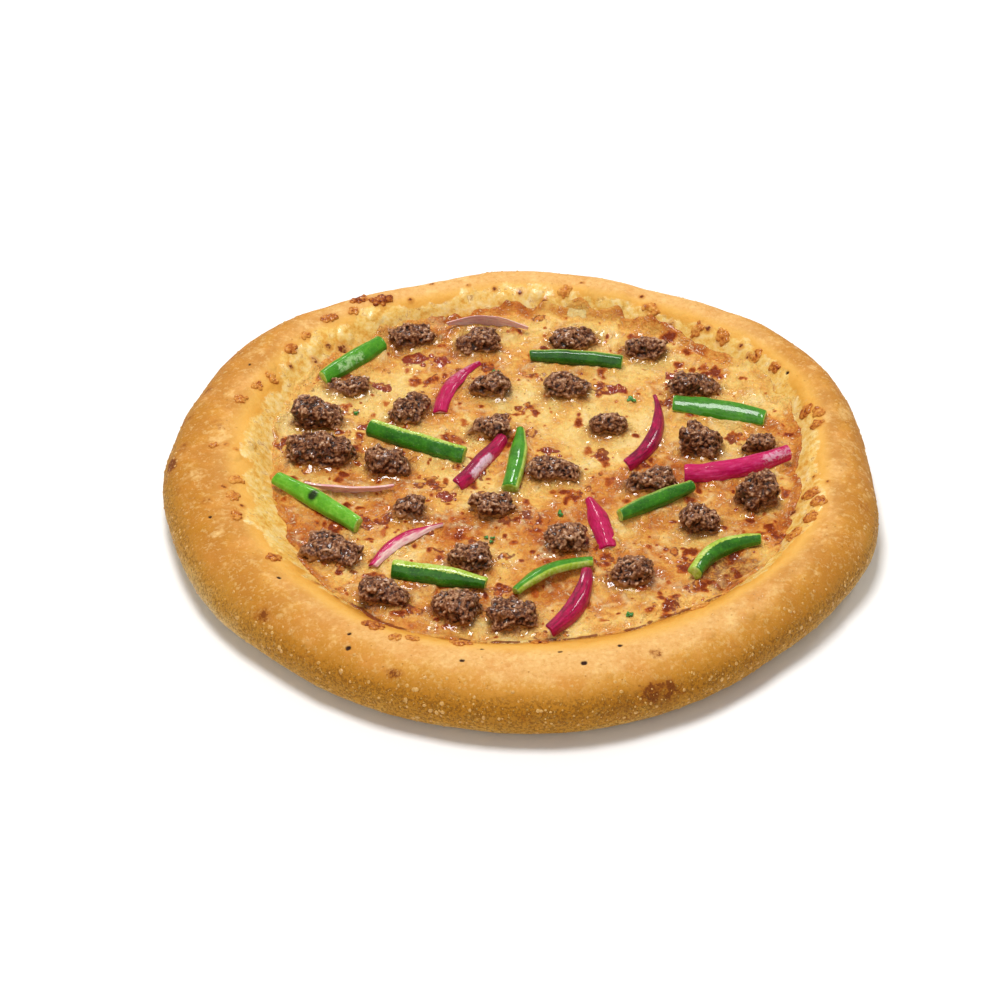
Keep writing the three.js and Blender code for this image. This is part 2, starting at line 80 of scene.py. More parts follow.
# Crumbles that have sunk further into the cheese, counted from 0, and how high the cheese climbs on them
SUNKEN = (6, 7, 8, 15, 16, 17, 18, 24, 25, 27)
SUNKEN_CLIMB = 3.4
USUAL_CLIMB = 2.0

# Half the width of the floor, in metres
FLOOR_HALF = 6.0

# Where a section of the rim is looked at from
CORE_INSET = 14.0
CORE_HEIGHT = 10.0
BULGE_HEIGHT = 11.0

# Browned cheese on the dough: angle in degrees, radius, length round the rim, width across, darkness
BAKED_ON = [
    (121, 115, 7, 4.6, 0.9), (117.5, 111, 8, 5, 1.0), (129, 111.5, 6.4, 3.8, 0.6), (124, 110, 4, 3, 0.5),
    (136, 109, 4, 3, 0.5), (141, 107.5, 5.2, 4.4, 0.6), (160, 106, 5, 4, 0.4), (154, 105, 4.8, 3, 0.4),
    (150, 104, 3.8, 4.6, 0.3), (175, 108, 3, 3, 0.5), (185.5, 99.5, 4.4, 5, 0.3), (191, 101.5, 5, 4.2, 0.4),
    (197, 102.5, 6, 3.6, 0.5), (211.5, 98.5, 4.6, 4.6, 0.6), (240.5, 100, 7, 5, 0.7),
    (246, 103.5, 3.6, 4, 0.3),
    (249, 101, 5, 3.2, 0.5), (258, 98, 7, 4.2, 0.6), (273.5, 91.5, 6.6, 4.4, 0.7), (309, 94, 7, 4.2, 0.4),
    (352, 101.5, 5, 6.4, 0.6), (348.5, 104.5, 5, 5, 0.5), (344, 103, 5.5, 4.4, 0.6),
    (339.5, 99.5, 7, 4.6, 0.6),
    (18, 107, 4, 4.4, 0.6), (15.5, 110, 4, 4, 0.6), (12.5, 107.5, 4, 4.4, 0.7), (33, 110, 4, 3.6, 0.7),
    (38.5, 109.5, 3.4, 4.4, 0.5), (47, 108.5, 5, 4.6, 0.5), (52.5, 107, 3.6, 5.6, 0.5),
    (81, 107, 4.4, 4.4, 0.3),
    (63, 107, 6.6, 4.4, 0.4),
]

# Smaller browned flecks on the rim: angle in degrees, radius, size
BROWN_FLECK = [
    (106.6, 114.6, 2.4), (130.4, 100.6, 5), (133, 103, 3), (138, 101, 3.4), (144, 103, 2.6),
    (174.6, 104, 2.4),
    (175.7, 100.3, 2.2), (188, 104, 3), (194.1, 99.1, 2.6), (221.2, 91.8, 3.6), (227.1, 91.8, 2.8),
    (283.5, 89, 3), (301.5, 90, 3.6), (349, 96, 4), (336.1, 95.2, 3.6), (354.1, 106.9, 1.8),
    (357.3, 102.4, 1.8),
    (14.6, 100.7, 3), (39.9, 108.1, 2.2), (42.5, 109.2, 2.4), (50.6, 108.7, 3), (90, 106.7, 2.4),
    (85, 104, 3),
    (78, 111, 2), (58, 105, 3), (66, 111, 2.4), (95, 108, 2.2), (100, 110, 2), (112, 108, 2.6),
    (30, 105, 2.6),
]

# Small pits, dented in and painted near-black as the shade inside them: angle in degrees, radius, size
PIT = [
    (239.8, 113.9, 2), (238.3, 108.6, 1.5), (259.5, 108.5, 1.6), (276.9, 102.3, 1.5), (280.5, 109.9, 2.2),
    (218.1, 103.6, 1.6), (305.5, 92.7, 1.6), (29.8, 110.9, 1.4), (196, 111, 1.5), (150, 113, 1.3),
    (262.5, 101, 1.3), (288, 103.5, 1.8),
]

# Toasted patches: angle in degrees, distance from the middle of the pizza, height, length, width, strength
TOAST = [
    (291.3, 123, 15, 17, 10, 1.0), (286, 124, 9, 12, 6, 0.5), (222.9, 117.6, 19, 8, 6, 0.8),
    (293, 111.8, 22, 6, 5, 0.6), (249.1, 117.4, 19, 7, 5, 0.7), (178.2, 121.5, 17, 10, 6, 1.1),
    (168.6, 109.2, 22, 8, 6, 0.5), (191.5, 111, 22, 6, 5, 0.5), (262, 121, 14, 14, 5, 0.5),
    (273, 123, 12, 18, 5, 0.5), (158, 120, 17, 9, 7, 1.0), (147, 120.5, 16, 15, 10, 1.4),
    (186, 119, 18, 6, 4, 0.7),
    (166, 121, 16, 9, 8, 0.9), (139, 121, 16, 9, 8, 0.9), (175, 119, 19, 9, 5, 0.8),
    (152, 116, 20, 8, 4, 0.7),
    (234, 121, 15, 10, 5, 0.45), (349, 120, 19, 10, 6, 0.45), (134, 120, 18, 8, 5, 0.7),
    (40, 121, 18, 14, 5, 0.35),
    (95, 121, 18, 16, 5, 0.3), (62, 122, 16, 12, 5, 0.5), (318, 120, 19, 12, 6, 0.35),
    (10, 121, 18, 14, 6, 0.35),
    (112, 122, 14, 12, 6, 0.5), (75, 122, 12, 10, 6, 0.4), (205, 121, 12, 10, 6, 0.4),
]

# Air blisters in the dough: angle in degrees, radius, size
AIR_BLISTER = [
    (312, 111.7, 5), (303.4, 111.5, 4.4), (316.6, 107.7, 4.2), (308, 104, 3.6), (300, 108, 3), (322, 112, 4),
    (297, 116, 3.4), (306, 117, 3.2), (326, 106, 3), (314, 116, 3), (331, 113, 3.4), (284, 116, 2.6),
    (345, 112, 3), (78, 106, 9), (70, 108, 8), (87, 107, 6), (93, 105, 5), (100, 108, 5), (62, 104, 7),
    (172, 98, 8), (178, 101, 6), (128, 104, 6), (136, 104, 5), (148, 107, 5), (120, 106, 5),
]

# Blisters of sauce and oil in the cheese: place, width, depth
SAUCE_BLISTER = [
    (-38, 74, 8, 5), (-29, 73, 4.6, 4.4), (-50, 57, 5.4, 4.6), (-54, 33, 6.5, 4.6),
    (35, 56, 6, 4.4), (56, 64, 5, 4), (-26, -7, 5.4, 5), (10, 19, 5, 4),
]

# Browner places in the cheese: place, size
BROWN_PATCH = [
    (-44, 36, 9), (-24, 24, 7), (2, 44, 7), (30, 58, 8), (-52, -22, 9), (-63, -24, 6), (-30, 0, 7),
    (-15, 6, 6),
    (-3, 22, 7), (2, -20, 9), (20, -8, 8), (-22, -28, 6), (42, 12, 7), (-8, -58, 7), (48, -66, 8),
    (60, -58, 9),
    (74, -38, 9), (58, -44, 9), (-50, -52, 6), (-30, 62, 6), (76, 27, 6), (28, 17, 7), (-63, 44, 5),
    (-83, 22, 5),
    (-80, -2, 6), (88, -30, 7), (26, -45, 6), (-13, 70, 5), (5, 65, 5), (52, 46, 6), (-32, -50, 6),
    (70, 66, 5),
]

# Chopped herb flecks: place, length, heading in degrees
HERB = [
    (-59, 41, 4, 20), (-10, 66.5, 3.4, -40), (41, 47.5, 4.2, 10),
    (-10.5, -32, 3.6, 0), (36, -73.5, 3.6, 35), (13, -17.5, 3.4, 20),
]

# Strips: middle of the chord, chord length, heading in degrees, bow to the left, width, thickness, lean of
# the skin to the front in degrees, and the share of the width at the two ends
PEPPER = [
    ((-60.8, 67.8), 30, 45, 0.3, 7.2, 4, 40, (0.85, 0.85)),
    ((20.4, 70.6), 34, -8, 0.4, 6, 3.6, 66, (0.7, 0.9)),
    ((71, 38.6), 34, -17, 0.8, 7.8, 3.4, 26, (0.9, 0.85)),
    ((-37, 20), 38, -26, -0.4, 7, 4, 56, (0.95, 0.9)),
    ((-2.1, 10.6), 34.5, -97, 0.6, 7, 4.4, -20, (0.45, 0.95)),
    ((-71, -15), 39, -41, 0.6, 6.8, 4.2, 40, (0.8, 0.9)),
    ((46.8, -14.5), 31, 33, 0.2, 6.2, 5, 45, (0.72, 0.72)),
    ((70.2, -45.9), 29, 37, 5, 6.2, 5, 40, (0.9, 0.7)),
    ((-28, -56.2), 33, -13.5, 0.4, 7.4, 4.4, 62, (1, 0.6)),
    ((11, -55), 31, 32, 4, 7, 4, -30, (0.5, 0.7)),
]
ONION = [
    ((-12, 89), 30, 2, 3.5, 6.2, 2, -80, (0.3, 0.25)),
    ((-22, 56), 33, -115, -3.5, 6.6, 2.2, -5, (0.4, 0.9)),
    ((43, 28), 43, -105, 6, 6.6, 2.2, 42, (0.25, 0.8)),
    ((76, 6), 39, 15, -2, 7.5, 2.4, 52, (0.95, 0.8)),
    ((-60, -4), 31, -2, -2, 5, 2, -66, (0.25, 0.4)),
    ((-14, 9.9), 31.8, -121, 0.6, 6.2, 2.4, 34, (0.85, 0.9)),
    ((-39, -36), 33, 44, 4, 6.4, 2.4, -5, (0.6, 0.22)),
    ((26.4, -24), 27.5, -78, 0.6, 7.7, 2.2, 12, (0.45, 0.88)),
    ((16, -68), 36, -112, 3, 7.2, 2.6, 36, (0.7, 0.75)),
]
TAPER_SHARE = 0.4

# Wet patches on the strips, each with a painted highlight on it: the middle and the half length of the patch
# as shares of the strip, the side of the strip that it keeps to (1 is the upper edge in the picture), and its
# strength
WET_AND_PAINTED_SHINE = {
    "pepper_01": (0.42, 0.24, -0.1, 0.85), "pepper_03": (0.62, 0.2, 0.1, 0.4),
    "pepper_05": (0.55, 0.22, 0.0, 0.3),
    "onion_06": (0.58, 0.24, -0.35, 1.1), "onion_02": (0.25, 0.3, 0.1, 0.6), "onion_04": (0.9, 0.2, 0.2, 0.7),
    "onion_07": (0.45, 0.3, -0.4, 0.3),
}

# The section across a strip, as shares of its width and thickness. The first half is the skin.
PEPPER_SECTION = [
    (0.5, 0.05), (0.3, 0.42), (0, 0.5), (-0.3, 0.42), (-0.5, 0.05), (-0.42, -0.48), (0, -0.36), (0.42, -0.48),
]
ONION_SECTION = [
    (0.5, -0.4), (0.28, 0.24), (0, 0.5), (-0.28, 0.24), (-0.5, -0.4), (-0.24, -0.34), (0, -0.26),
    (0.24, -0.34),
]

# How each pepper strip looks: brightness of the green, how much yellow flesh shows, and how much of it shows
# along the upper edge
PEPPER_LOOK = [
    (0.62, 0.1, 0.1), (0.36, 0.1, 0.12), (0.56, 0.1, 0.1), (0.46, 0.12, 0.3), (0.58, 0.6, 0.35),
    (0.84, 0.2, 0.1), (0.46, 0.05, 0.2), (0.44, 0.15, 0.5), (0.44, 0.25, 0.5), (0.6, 0.6, 0.4),
]
# How each onion strip looks: how deep its purple is, how far its pale inner face shows, and how much the
# purple keeps to the upper edge
ONION_LOOK = [
    (0.6, 0.6, 0.9), (0.68, 0.25, -0.1), (0.86, 0.02, 0.2), (0.54, 0.1, 0.1), (0.3, 0.8, 0.3),
    (0.8, 0.15, 0.5),
    (0.62, 0.5, 0.9), (0.68, 0.05, 0.1), (0.82, 0.0, 0.2),
]


# ---------------------------------------------------------------- numbers in space

def smooth(value, low, high):
    share = np.clip((value - low) / (high - low), 0, 1)
    return share * share * (3 - 2 * share)


def mixed(low, high, share):
    return low + (high - low) * share


def scrambled(cells, seed):
    """A number from 0 to 1 for each whole cell."""
    total = np.full(cells.shape[:-1], (seed * 7919 + 17) % 2**32, np.uint32)
    for axis, prime in enumerate((374761393, 668265263, 2246822519)[:cells.shape[-1]]):
        total ^= cells[..., axis].astype(np.int64).astype(np.uint32) * np.uint32(prime)
        total = (total ^ (total >> np.uint32(15))) * np.uint32(739982445)
        total ^= total >> np.uint32(12)
    total = total * np.uint32(695872825)
    return (total ^ (total >> np.uint32(15))) / 2.0**32


def noise(points, size, seed):
    """Smooth random numbers from -1 to 1 with features of that size."""
    spots = points / size + seed * 3.71
    cell = np.floor(spots)
    part = spots - cell
    part = part * part * (3 - 2 * part)
    total = 0.0
    for corner in np.ndindex(*(2,) * points.shape[-1]):
        weight = np.prod(np.where(np.array(corner) == 1, part, 1 - part), axis=-1)
        total = total + weight * scrambled(cell + corner, seed)
    return 2 * total - 1


def layered(points, size, seed, layers=3):
    total = 0.0
    for layer in range(layers):
        total = total + noise(points, size * 0.5**layer, seed + 11 * layer) * 0.5**layer
    return total


def softened(field, steps, axis, around):
    """A field blurred along one axis by a bell curve, steps wide."""
    reach = int(math.ceil(3 * steps))
    weights = np.exp(-0.5 * (np.arange(-reach, reach + 1) / steps) ** 2)
    weights /= weights.sum()
    pad = [(0, 0)] * field.ndim
    pad[axis] = (reach, reach)
    wide = np.pad(field, pad, mode="wrap" if around else "edge")
    count = field.shape[axis]
    total = np.zeros_like(field)
    for index, weight in enumerate(weights):
        total += weight * np.take(wide, range(index, index + count), axis=axis)
    return total


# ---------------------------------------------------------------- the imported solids

def solid_tree(node):
    """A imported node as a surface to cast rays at, in millimetres about the middle of the rings."""
    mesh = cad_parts[node].data
    spots = np.empty(len(mesh.vertices) * 3)
    mesh.vertices.foreach_get("co", spots)
    spots = spots.reshape(-1, 3) / MM - MIDDLE
    return spots, BVHTree.FromPolygons(spots.tolist(), [tuple(face.vertices) for face in mesh.polygons])


def heights(tree, xs, ys, start=60.0, direction=DOWN):
    found = np.full(len(xs), np.nan)
    for index, (x, y) in enumerate(zip(xs.tolist(), ys.tolist())):
        hit = tree.ray_cast(Vector((x, y, start)), direction)[0]
        if hit is not None:
            found[index] = hit.z
    return found


def node_names(kind):
    return sorted(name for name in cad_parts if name.startswith(kind))


# ---------------------------------------------------------------- shader and geometry graphs

def paint(code, share=1.0):
    """A colour from its six letters, as a shader takes it."""
    parts = [int(code[index:index + 2], 16) / 255 for index in (0, 2, 4)]
    linear = [part / 12.92 if part <= 0.04045 else ((part + 0.055) / 1.055) ** 2.4 for part in parts]
    return (*[part * share for part in linear], 1.0)


class Value:
    """A number, colour or vector that changes over a surface."""

    def __init__(self, graph, socket):
        self.graph = graph
        self.socket = socket

    def __add__(self, other):
        return self.graph.maths("ADD", self, other)

    def __sub__(self, other):
        return self.graph.maths("SUBTRACT", self, other)

    def __rsub__(self, other):
        return self.graph.maths("SUBTRACT", other, self)

    def __mul__(self, other):
        return self.graph.maths("MULTIPLY", self, other)

    __radd__ = __add__
    __rmul__ = __mul__

    def between(self, low, high):
        """0 below low, 1 above high, and smooth between them."""
        settings = {"interpolation_type": "SMOOTHSTEP"}
        return self.graph.node("ShaderNodeMapRange", settings, {0: self, 1: low, 2: high})


class Graph:
    """A node tree that is filled by calls."""

    def __init__(self, tree):
        self.tree = tree

    def add(self, kind, settings=None, values=None):
        made = self.tree.nodes.new(kind)
        for name, setting in (settings or {}).items():
            if name == "stops":
                self.stops(made.color_ramp, setting)
            else:
                setattr(made, name, setting)
        for name, value in (values or {}).items():
            for single in value if isinstance(value, list) else [value]:
                if isinstance(single, Value):
                    self.tree.links.new(single.socket, made.inputs[name])
                else:
                    made.inputs[name].default_value = single
        return made

    def node(self, kind, settings=None, values=None, output=0):
        return Value(self, self.add(kind, settings, values).outputs[output])

    def stops(self, ramp, stops):
        while len(ramp.elements) < len(stops):
            ramp.elements.new(0.5)
        for element, (place, colour) in zip(ramp.elements, stops):
            element.position = place
            element.color = colour

    def maths(self, operation, first, second):
        return self.node("ShaderNodeMath", {"operation": operation}, {0: first, 1: second})

    def given(self, name):
        return self.node("ShaderNodeAttribute", {"attribute_name": name}, output=2)

    def place(self):
        return self.node("ShaderNodeTexCoord", output=3)

    def noise(self, size, detail=3.0, roughness=0.55, warp=0.0, at=None):
        values = {"Vector": at or self.place(), "Scale": 1 / (size * MM), "Detail": detail,
                  "Roughness": roughness, "Distortion": warp}
        return self.node("ShaderNodeTexNoise", None, values)

    def cells(self, size, feature="F1", randomness=1.0, at=None):
        values = {"Vector": at or self.place(), "Scale": 1 / (size * MM), "Randomness": randomness}
        return self.node("ShaderNodeTexVoronoi", {"feature": feature}, values)

    def mix(self, first, second, share, blend="MIX"):
        settings = {"data_type": "RGBA", "blend_type": blend, "clamp_factor": True}
        return self.node("ShaderNodeMix", settings, {0: share, 6: first, 7: second}, output=2)

    def ramp(self, value, stops):
        return self.node("ShaderNodeValToRGB", {"stops": stops}, {0: value})


def finish(name, draw, **fixed):
    """A material whose changing values come from draw(graph), and whose fixed ones are set on the shader."""
    material = bpy.data.materials.new(name)
    material.use_nodes = True
    material.node_tree.nodes.clear()
    graph = Graph(material.node_tree)
    changing = draw(graph)
    relief = changing.pop("relief")
    depth = changing.pop("depth")
    changing["Normal"] = graph.node("ShaderNodeBump", None, {"Height": relief, "Distance": depth * MM})
    values = {key.replace("_", " "): value for key, value in fixed.items()}
    values.update(changing)
    shader = graph.node("ShaderNodeBsdfPrincipled", {"subsurface_method": "RANDOM_WALK"}, values)
    graph.add("ShaderNodeOutputMaterial", None, {"Surface": shader})
    return material


# ---------------------------------------------------------------- materials

def draw_dough(graph):
    round_ = graph.given("round")
    inside = graph.given("inside")
    toast = graph.given("toast")
    fleck = graph.given("fleck")
    pit = graph.given("pit")
    oily = graph.given("oily")
    stain = graph.given("stain")
    broad = graph.noise(34, 3)
    cloud = graph.noise(8, 4, 0.6)
    fine = graph.noise(2.4, 4, 0.65)
    grain = graph.noise(0.9, 3, 0.65)
    level = round_ + (broad - 0.5) * 0.34 + (cloud - 0.5) * 0.22 + (fine - 0.5) * 0.2 + (grain - 0.5) * 0.16
    level = level - graph.given("flank") * 0.18
    # The colour from the foot to the crest: the pale stops at the foot are painted light bounced up under the
    # rim, and the darker wall stops are partly the bake's own colour and partly painted shade.
    colour = graph.ramp(level, [
        (0.0, paint("eed2a0")), (0.16, paint("deb266")), (0.3, paint("c48c34")), (0.52, paint("b8781a")),
        (0.66, paint("c48428")), (0.77, paint("d4963e")), (0.87, paint("e2ac64")), (1.0, paint("e4b06a")),
    ])
    blush = graph.noise(15, 4, 0.62).between(0.44, 0.68) * round_.between(0.55, 0.75)
    colour = graph.mix(colour, paint("d48c3e"), blush * 0.6)
    tanned = graph.given("flank") * (graph.noise(10, 4, 0.62) - 0.1).between(0.22, 0.5)
    colour = graph.mix(colour, paint("b8782c"), tanned * round_.between(0.4, 0.8) * 0.75)
    pale = graph.noise(11, 4, 0.65).between(0.54, 0.7) * round_.between(0.6, 0.8)
    colour = graph.mix(colour, paint("f2c982"), pale * 0.6)
    mottle = graph.noise(1.5, 4, 0.7, 0.4)
    tan = (mottle + (fine - 0.5) * 0.7).between(0.5, 0.72) * round_.between(0.45, 0.7)
    colour = graph.mix(colour, paint("c98a3e"), tan * 0.5)
    cream = (mottle + (fine - 0.5) * 0.7).between(0.5, 0.3) * round_.between(0.5, 0.75)
    colour = graph.mix(colour, paint("f6d592"), cream * 0.32)
    # The darker colour in the pores is painted shade in the small dents.
    pores = (1 - graph.cells(2.6).between(0.05, 0.13)) * graph.noise(7, 2).between(0.4, 0.6)
    colour = graph.mix(colour, paint("a8692a"), pores * 0.6)
    inner = graph.ramp(inside + (cloud - 0.5) * 0.7 + (fine - 0.5) * 0.4, [
        (0.0, paint("e6ae58")), (0.3, paint("e8b056")), (0.55, paint("e2a242")), (0.8, paint("d29030")),
        (1.0, paint("c07e26")),
    ])
    colour = graph.mix(colour, inner, inside.between(0.05, 0.4))
    colour = graph.mix(colour, paint("bd8622"), oily * (cloud.between(0.3, 0.62) * 0.35 + 0.55))
    melted = (stain + (fine - 0.5) * 0.7 + (cloud - 0.5) * 0.5).between(0.3, 0.55)
    melt = graph.ramp(fine * 0.7 + cloud * 0.4, [
        (0.3, paint("c4781f")), (0.42, paint("dc9c3a")), (0.54, paint("efc468")), (0.72, paint("f8e0a4")),
    ])
    colour = graph.mix(colour, melt, melted * 0.9)
    rings = graph.node("ShaderNodeMath", {"operation": "PINGPONG"}, {0: fine * 1.0 - 0.57, 1: 0.5})
    outline = (1 - rings.between(0.0, 0.05)) * melted * graph.noise(5, 3).between(0.52, 0.64)
    colour = graph.mix(colour, paint("a85a18"), outline * 0.7)
    wall = 1 - (round_ + (fine - 0.5) * 0.2).between(0.5, 0.68)
    dots = (1 - graph.cells(1.7).between(0.14, 0.3)) * graph.noise(5, 3).between(0.36, 0.52)
    small_dots = (1 - graph.cells(1.0).between(0.12, 0.3)) * graph.noise(3, 2).between(0.42, 0.55)
    dot_share = (dots + small_dots * 0.7).between(0.0, 1.0) * wall
    speck = graph.noise(0.95, 3, 0.7).between(0.47, 0.6) * wall
    colour = graph.mix(colour, paint("7a4a14"), speck * 0.62)
    colour = graph.mix(colour, paint("dcaa54"), dot_share * 0.6)
    ragged = (graph.noise(4, 4, 0.7) - 0.5) * 1.5 + (fine - 0.5) * 0.9 + (grain - 0.5) * 0.4
    ragged = ragged * toast.between(0.0, 0.3)
    toasted = (toast * (cloud * 0.7 + 0.5) + ragged).between(0.2, 0.9)
    colour = graph.mix(colour, paint("a05a18"), toasted * 0.85)
    colour = graph.mix(colour, paint("6a2e0a"), toasted.between(0.6, 1.0) * 0.7)
    dry = (graph.noise(21, 4, 0.6) + (grain - 0.5) * 0.3).between(0.58, 0.72) * wall
    colour = graph.mix(colour, paint("8f5514"), dry * 0.4)
    spot = (fleck * (graph.noise(1.7, 3, 0.65) * 1.6)).between(0.42, 0.75)
    colour = graph.mix(colour, paint("c87a28"), fleck.between(0.08, 0.5) * 0.6)
    colour = graph.mix(colour, paint("6e2a08"), spot)
    # The near-black in the pits is painted shade inside the dents.
    colour = graph.mix(colour, paint("32170a"), pit.between(0.2, 0.6))
    relief = grain * (0.3 + wall * 0.35) + fine * 0.45 + mottle * 0.35
    relief = relief + dot_share * 0.55 + cloud * 0.25 - pores * 0.4 - speck * 0.2
    rough = 0.62 - oily * 0.3 - melted * 0.26 - dot_share * 0.15 - inside.between(0.2, 0.8) * 0.12
    coat = (melted * 0.35 + oily * 0.6 + dot_share * 0.25 + graph.given("gloss")).between(0, 1)
    return {"Base Color": colour, "Roughness": rough, "Coat Weight": coat, "relief": relief, "depth": 0.6}


def draw_cheese(graph):
    brown = graph.given("brown")
    ring = graph.given("ring")
    orange = graph.given("orange")
    sauce = graph.given("sauce")
    oil = graph.given("oil")
    shred = graph.given("shred")
    crisp = graph.given("crisp")
    fringe = graph.given("fringe")
    cloud = graph.noise(7, 4, 0.62, 0.5)
    fine = graph.noise(1.9, 4, 0.65, 0.8)
    grain = graph.noise(0.7, 3, 0.6)
    patch = graph.noise(16, 3, 0.55)
    warm = orange + (patch - 0.5) * 1.15 + (cloud - 0.5) * 1.25 + (fine - 0.5) * 0.85 + fringe * 0.2 + 0.03
    colour = graph.ramp(warm, [
        (0.0, paint("f6d38a")), (0.2, paint("f0c670")), (0.42, paint("eab058")), (0.6, paint("dc9440")),
        (0.8, paint("c87228")), (1.0, paint("ae561a")),
    ])
    colour = graph.mix(colour, paint("fbe4a8"), shred * (fine * 1.3) * 0.8)
    # Pale cream patches: partly the cheese's own pale tone and partly a painted sheen.
    cream_and_sheen = (fine + (grain - 0.5) * 0.5 + (cloud - 0.5) * 0.4).between(0.56, 0.72)
    colour = graph.mix(colour, paint("fde9b4"), cream_and_sheen * 0.6)
    oiled = (oil + (fine - 0.5) * 0.9).between(0.25, 0.9)
    colour = graph.mix(colour, paint("a45c1c"), oiled * 0.7)
    halo = (brown + (cloud - 0.5) * 0.4 + (fine - 0.5) * 0.3).between(0.05, 0.4)
    colour = graph.mix(colour, paint("d07f30"), halo * 0.6)
    edge = (brown + (fine - 0.5) * 0.7).between(0.3, 0.55)
    colour = graph.mix(colour, paint("b8520f"), edge * 0.85)
    heart = (brown + (fine - 0.5) * 0.9).between(0.55, 0.85)
    colour = graph.mix(colour, paint("7a2606"), heart * 0.88)
    rim = (ring + (fine - 0.5) * 0.5).between(0.3, 0.65)
    colour = graph.mix(colour, paint("7e2c08"), rim * 0.85)
    red = (sauce + (fine - 0.5) * 0.5).between(0.25, 0.6)
    colour = graph.mix(colour, paint("8c1604"), red * 0.94)
    seam = (crisp + (fine - 0.5) * 0.9).between(0.3, 0.75)
    colour = graph.mix(colour, paint("7a300a"), seam * 0.88)
    speck = (1 - graph.cells(2.2).between(0.07, 0.17)) * graph.noise(6, 3).between(0.46, 0.6)
    colour = graph.mix(colour, paint("8a3a0a"), speck * 0.75)
    strings = (1 - graph.cells(1.5, "DISTANCE_TO_EDGE").between(0.0, 0.2)) * oil
    relief = cloud * 0.45 + fine * 0.85 + grain * 0.28 + strings * 0.5
    relief = relief + (1 - graph.cells(1.4).between(0, 0.5)) * 0.18
    rough = 0.34 + cloud * 0.12 - oiled * 0.12 - red * 0.14 - edge * 0.1
    coat = (cloud.between(0.46, 0.66) * 0.6 + oil * 0.8 + red + rim * 0.5).between(0, 1)
    return {"Base Color": colour, "Roughness": rough, "Coat Weight": coat, "relief": relief, "depth": 1.3}


def draw_beef(graph):
    hollow = graph.given("hollow")
    foot = graph.given("foot")
    up = graph.given("up")
    grain = graph.noise(1.5, 4, 0.62)
    broad = graph.noise(5.5, 3)
    # Darker in the hollows is painted shade, and lighter on faces that look up is painted light.
    colour = graph.ramp(grain * 0.8 + broad * 0.62 - hollow * 0.5 + up * 0.12, [
        (0.18, paint("180702")), (0.34, paint("3a190b")), (0.5, paint("5c2d18")), (0.66, paint("84502f")),
        (0.8, paint("b07f5c")), (0.95, paint("d6b08e")),
    ])
    # Pale flecks on the upward crests are painted highlights.
    painted_glint = (1 - hollow) * graph.noise(0.55, 2, 0.7).between(0.5, 0.62) * up
    colour = graph.mix(colour, paint("cfa682"), painted_glint * 0.55)
    # The near-black in the deepest hollows is painted shade.
    colour = graph.mix(colour, paint("140602"), hollow.between(0.5, 0.9) * 0.85)
    glaze = (foot + (graph.noise(2.2, 3, 0.6) - 0.5) * 1.2).between(0.42, 0.75)
    colour = graph.mix(colour, paint("b67733"), glaze * 0.6)
    relief = grain * 1.1 + graph.noise(0.5, 2) * 0.3
    rough = 0.52 - glaze * 0.28 - graph.noise(2.6, 2).between(0.5, 0.62) * 0.2
    coat = (graph.noise(2.4, 2).between(0.46, 0.56) * 0.85 + glaze).between(0, 1)
    return {"Base Color": colour, "Roughness": rough, "Coat Weight": coat, "relief": relief, "depth": 0.6}


def draw_knobs(graph):
    hollow = graph.given("hollow")
    dark = graph.given("dark")
    grain = graph.noise(0.9, 3, 0.6)
    broad = graph.noise(2.6, 3)
    # Darker in the hollows is painted shade; dark is how browned each bit is.
    colour = graph.ramp(dark * 0.4 + hollow * 0.45 + (grain - 0.5) * 1.1 + (broad - 0.5) * 1.0 - 0.1, [
        (0.0, paint("e0a24a")), (0.25, paint("cf8434")), (0.45, paint("a85618")), (0.6, paint("742a06")),
        (1.0, paint("3a1304")),
    ])
    rough = 0.36 + grain * 0.2
    return {"Base Color": colour, "Roughness": rough, "relief": grain + broad * 0.4, "depth": 0.35}


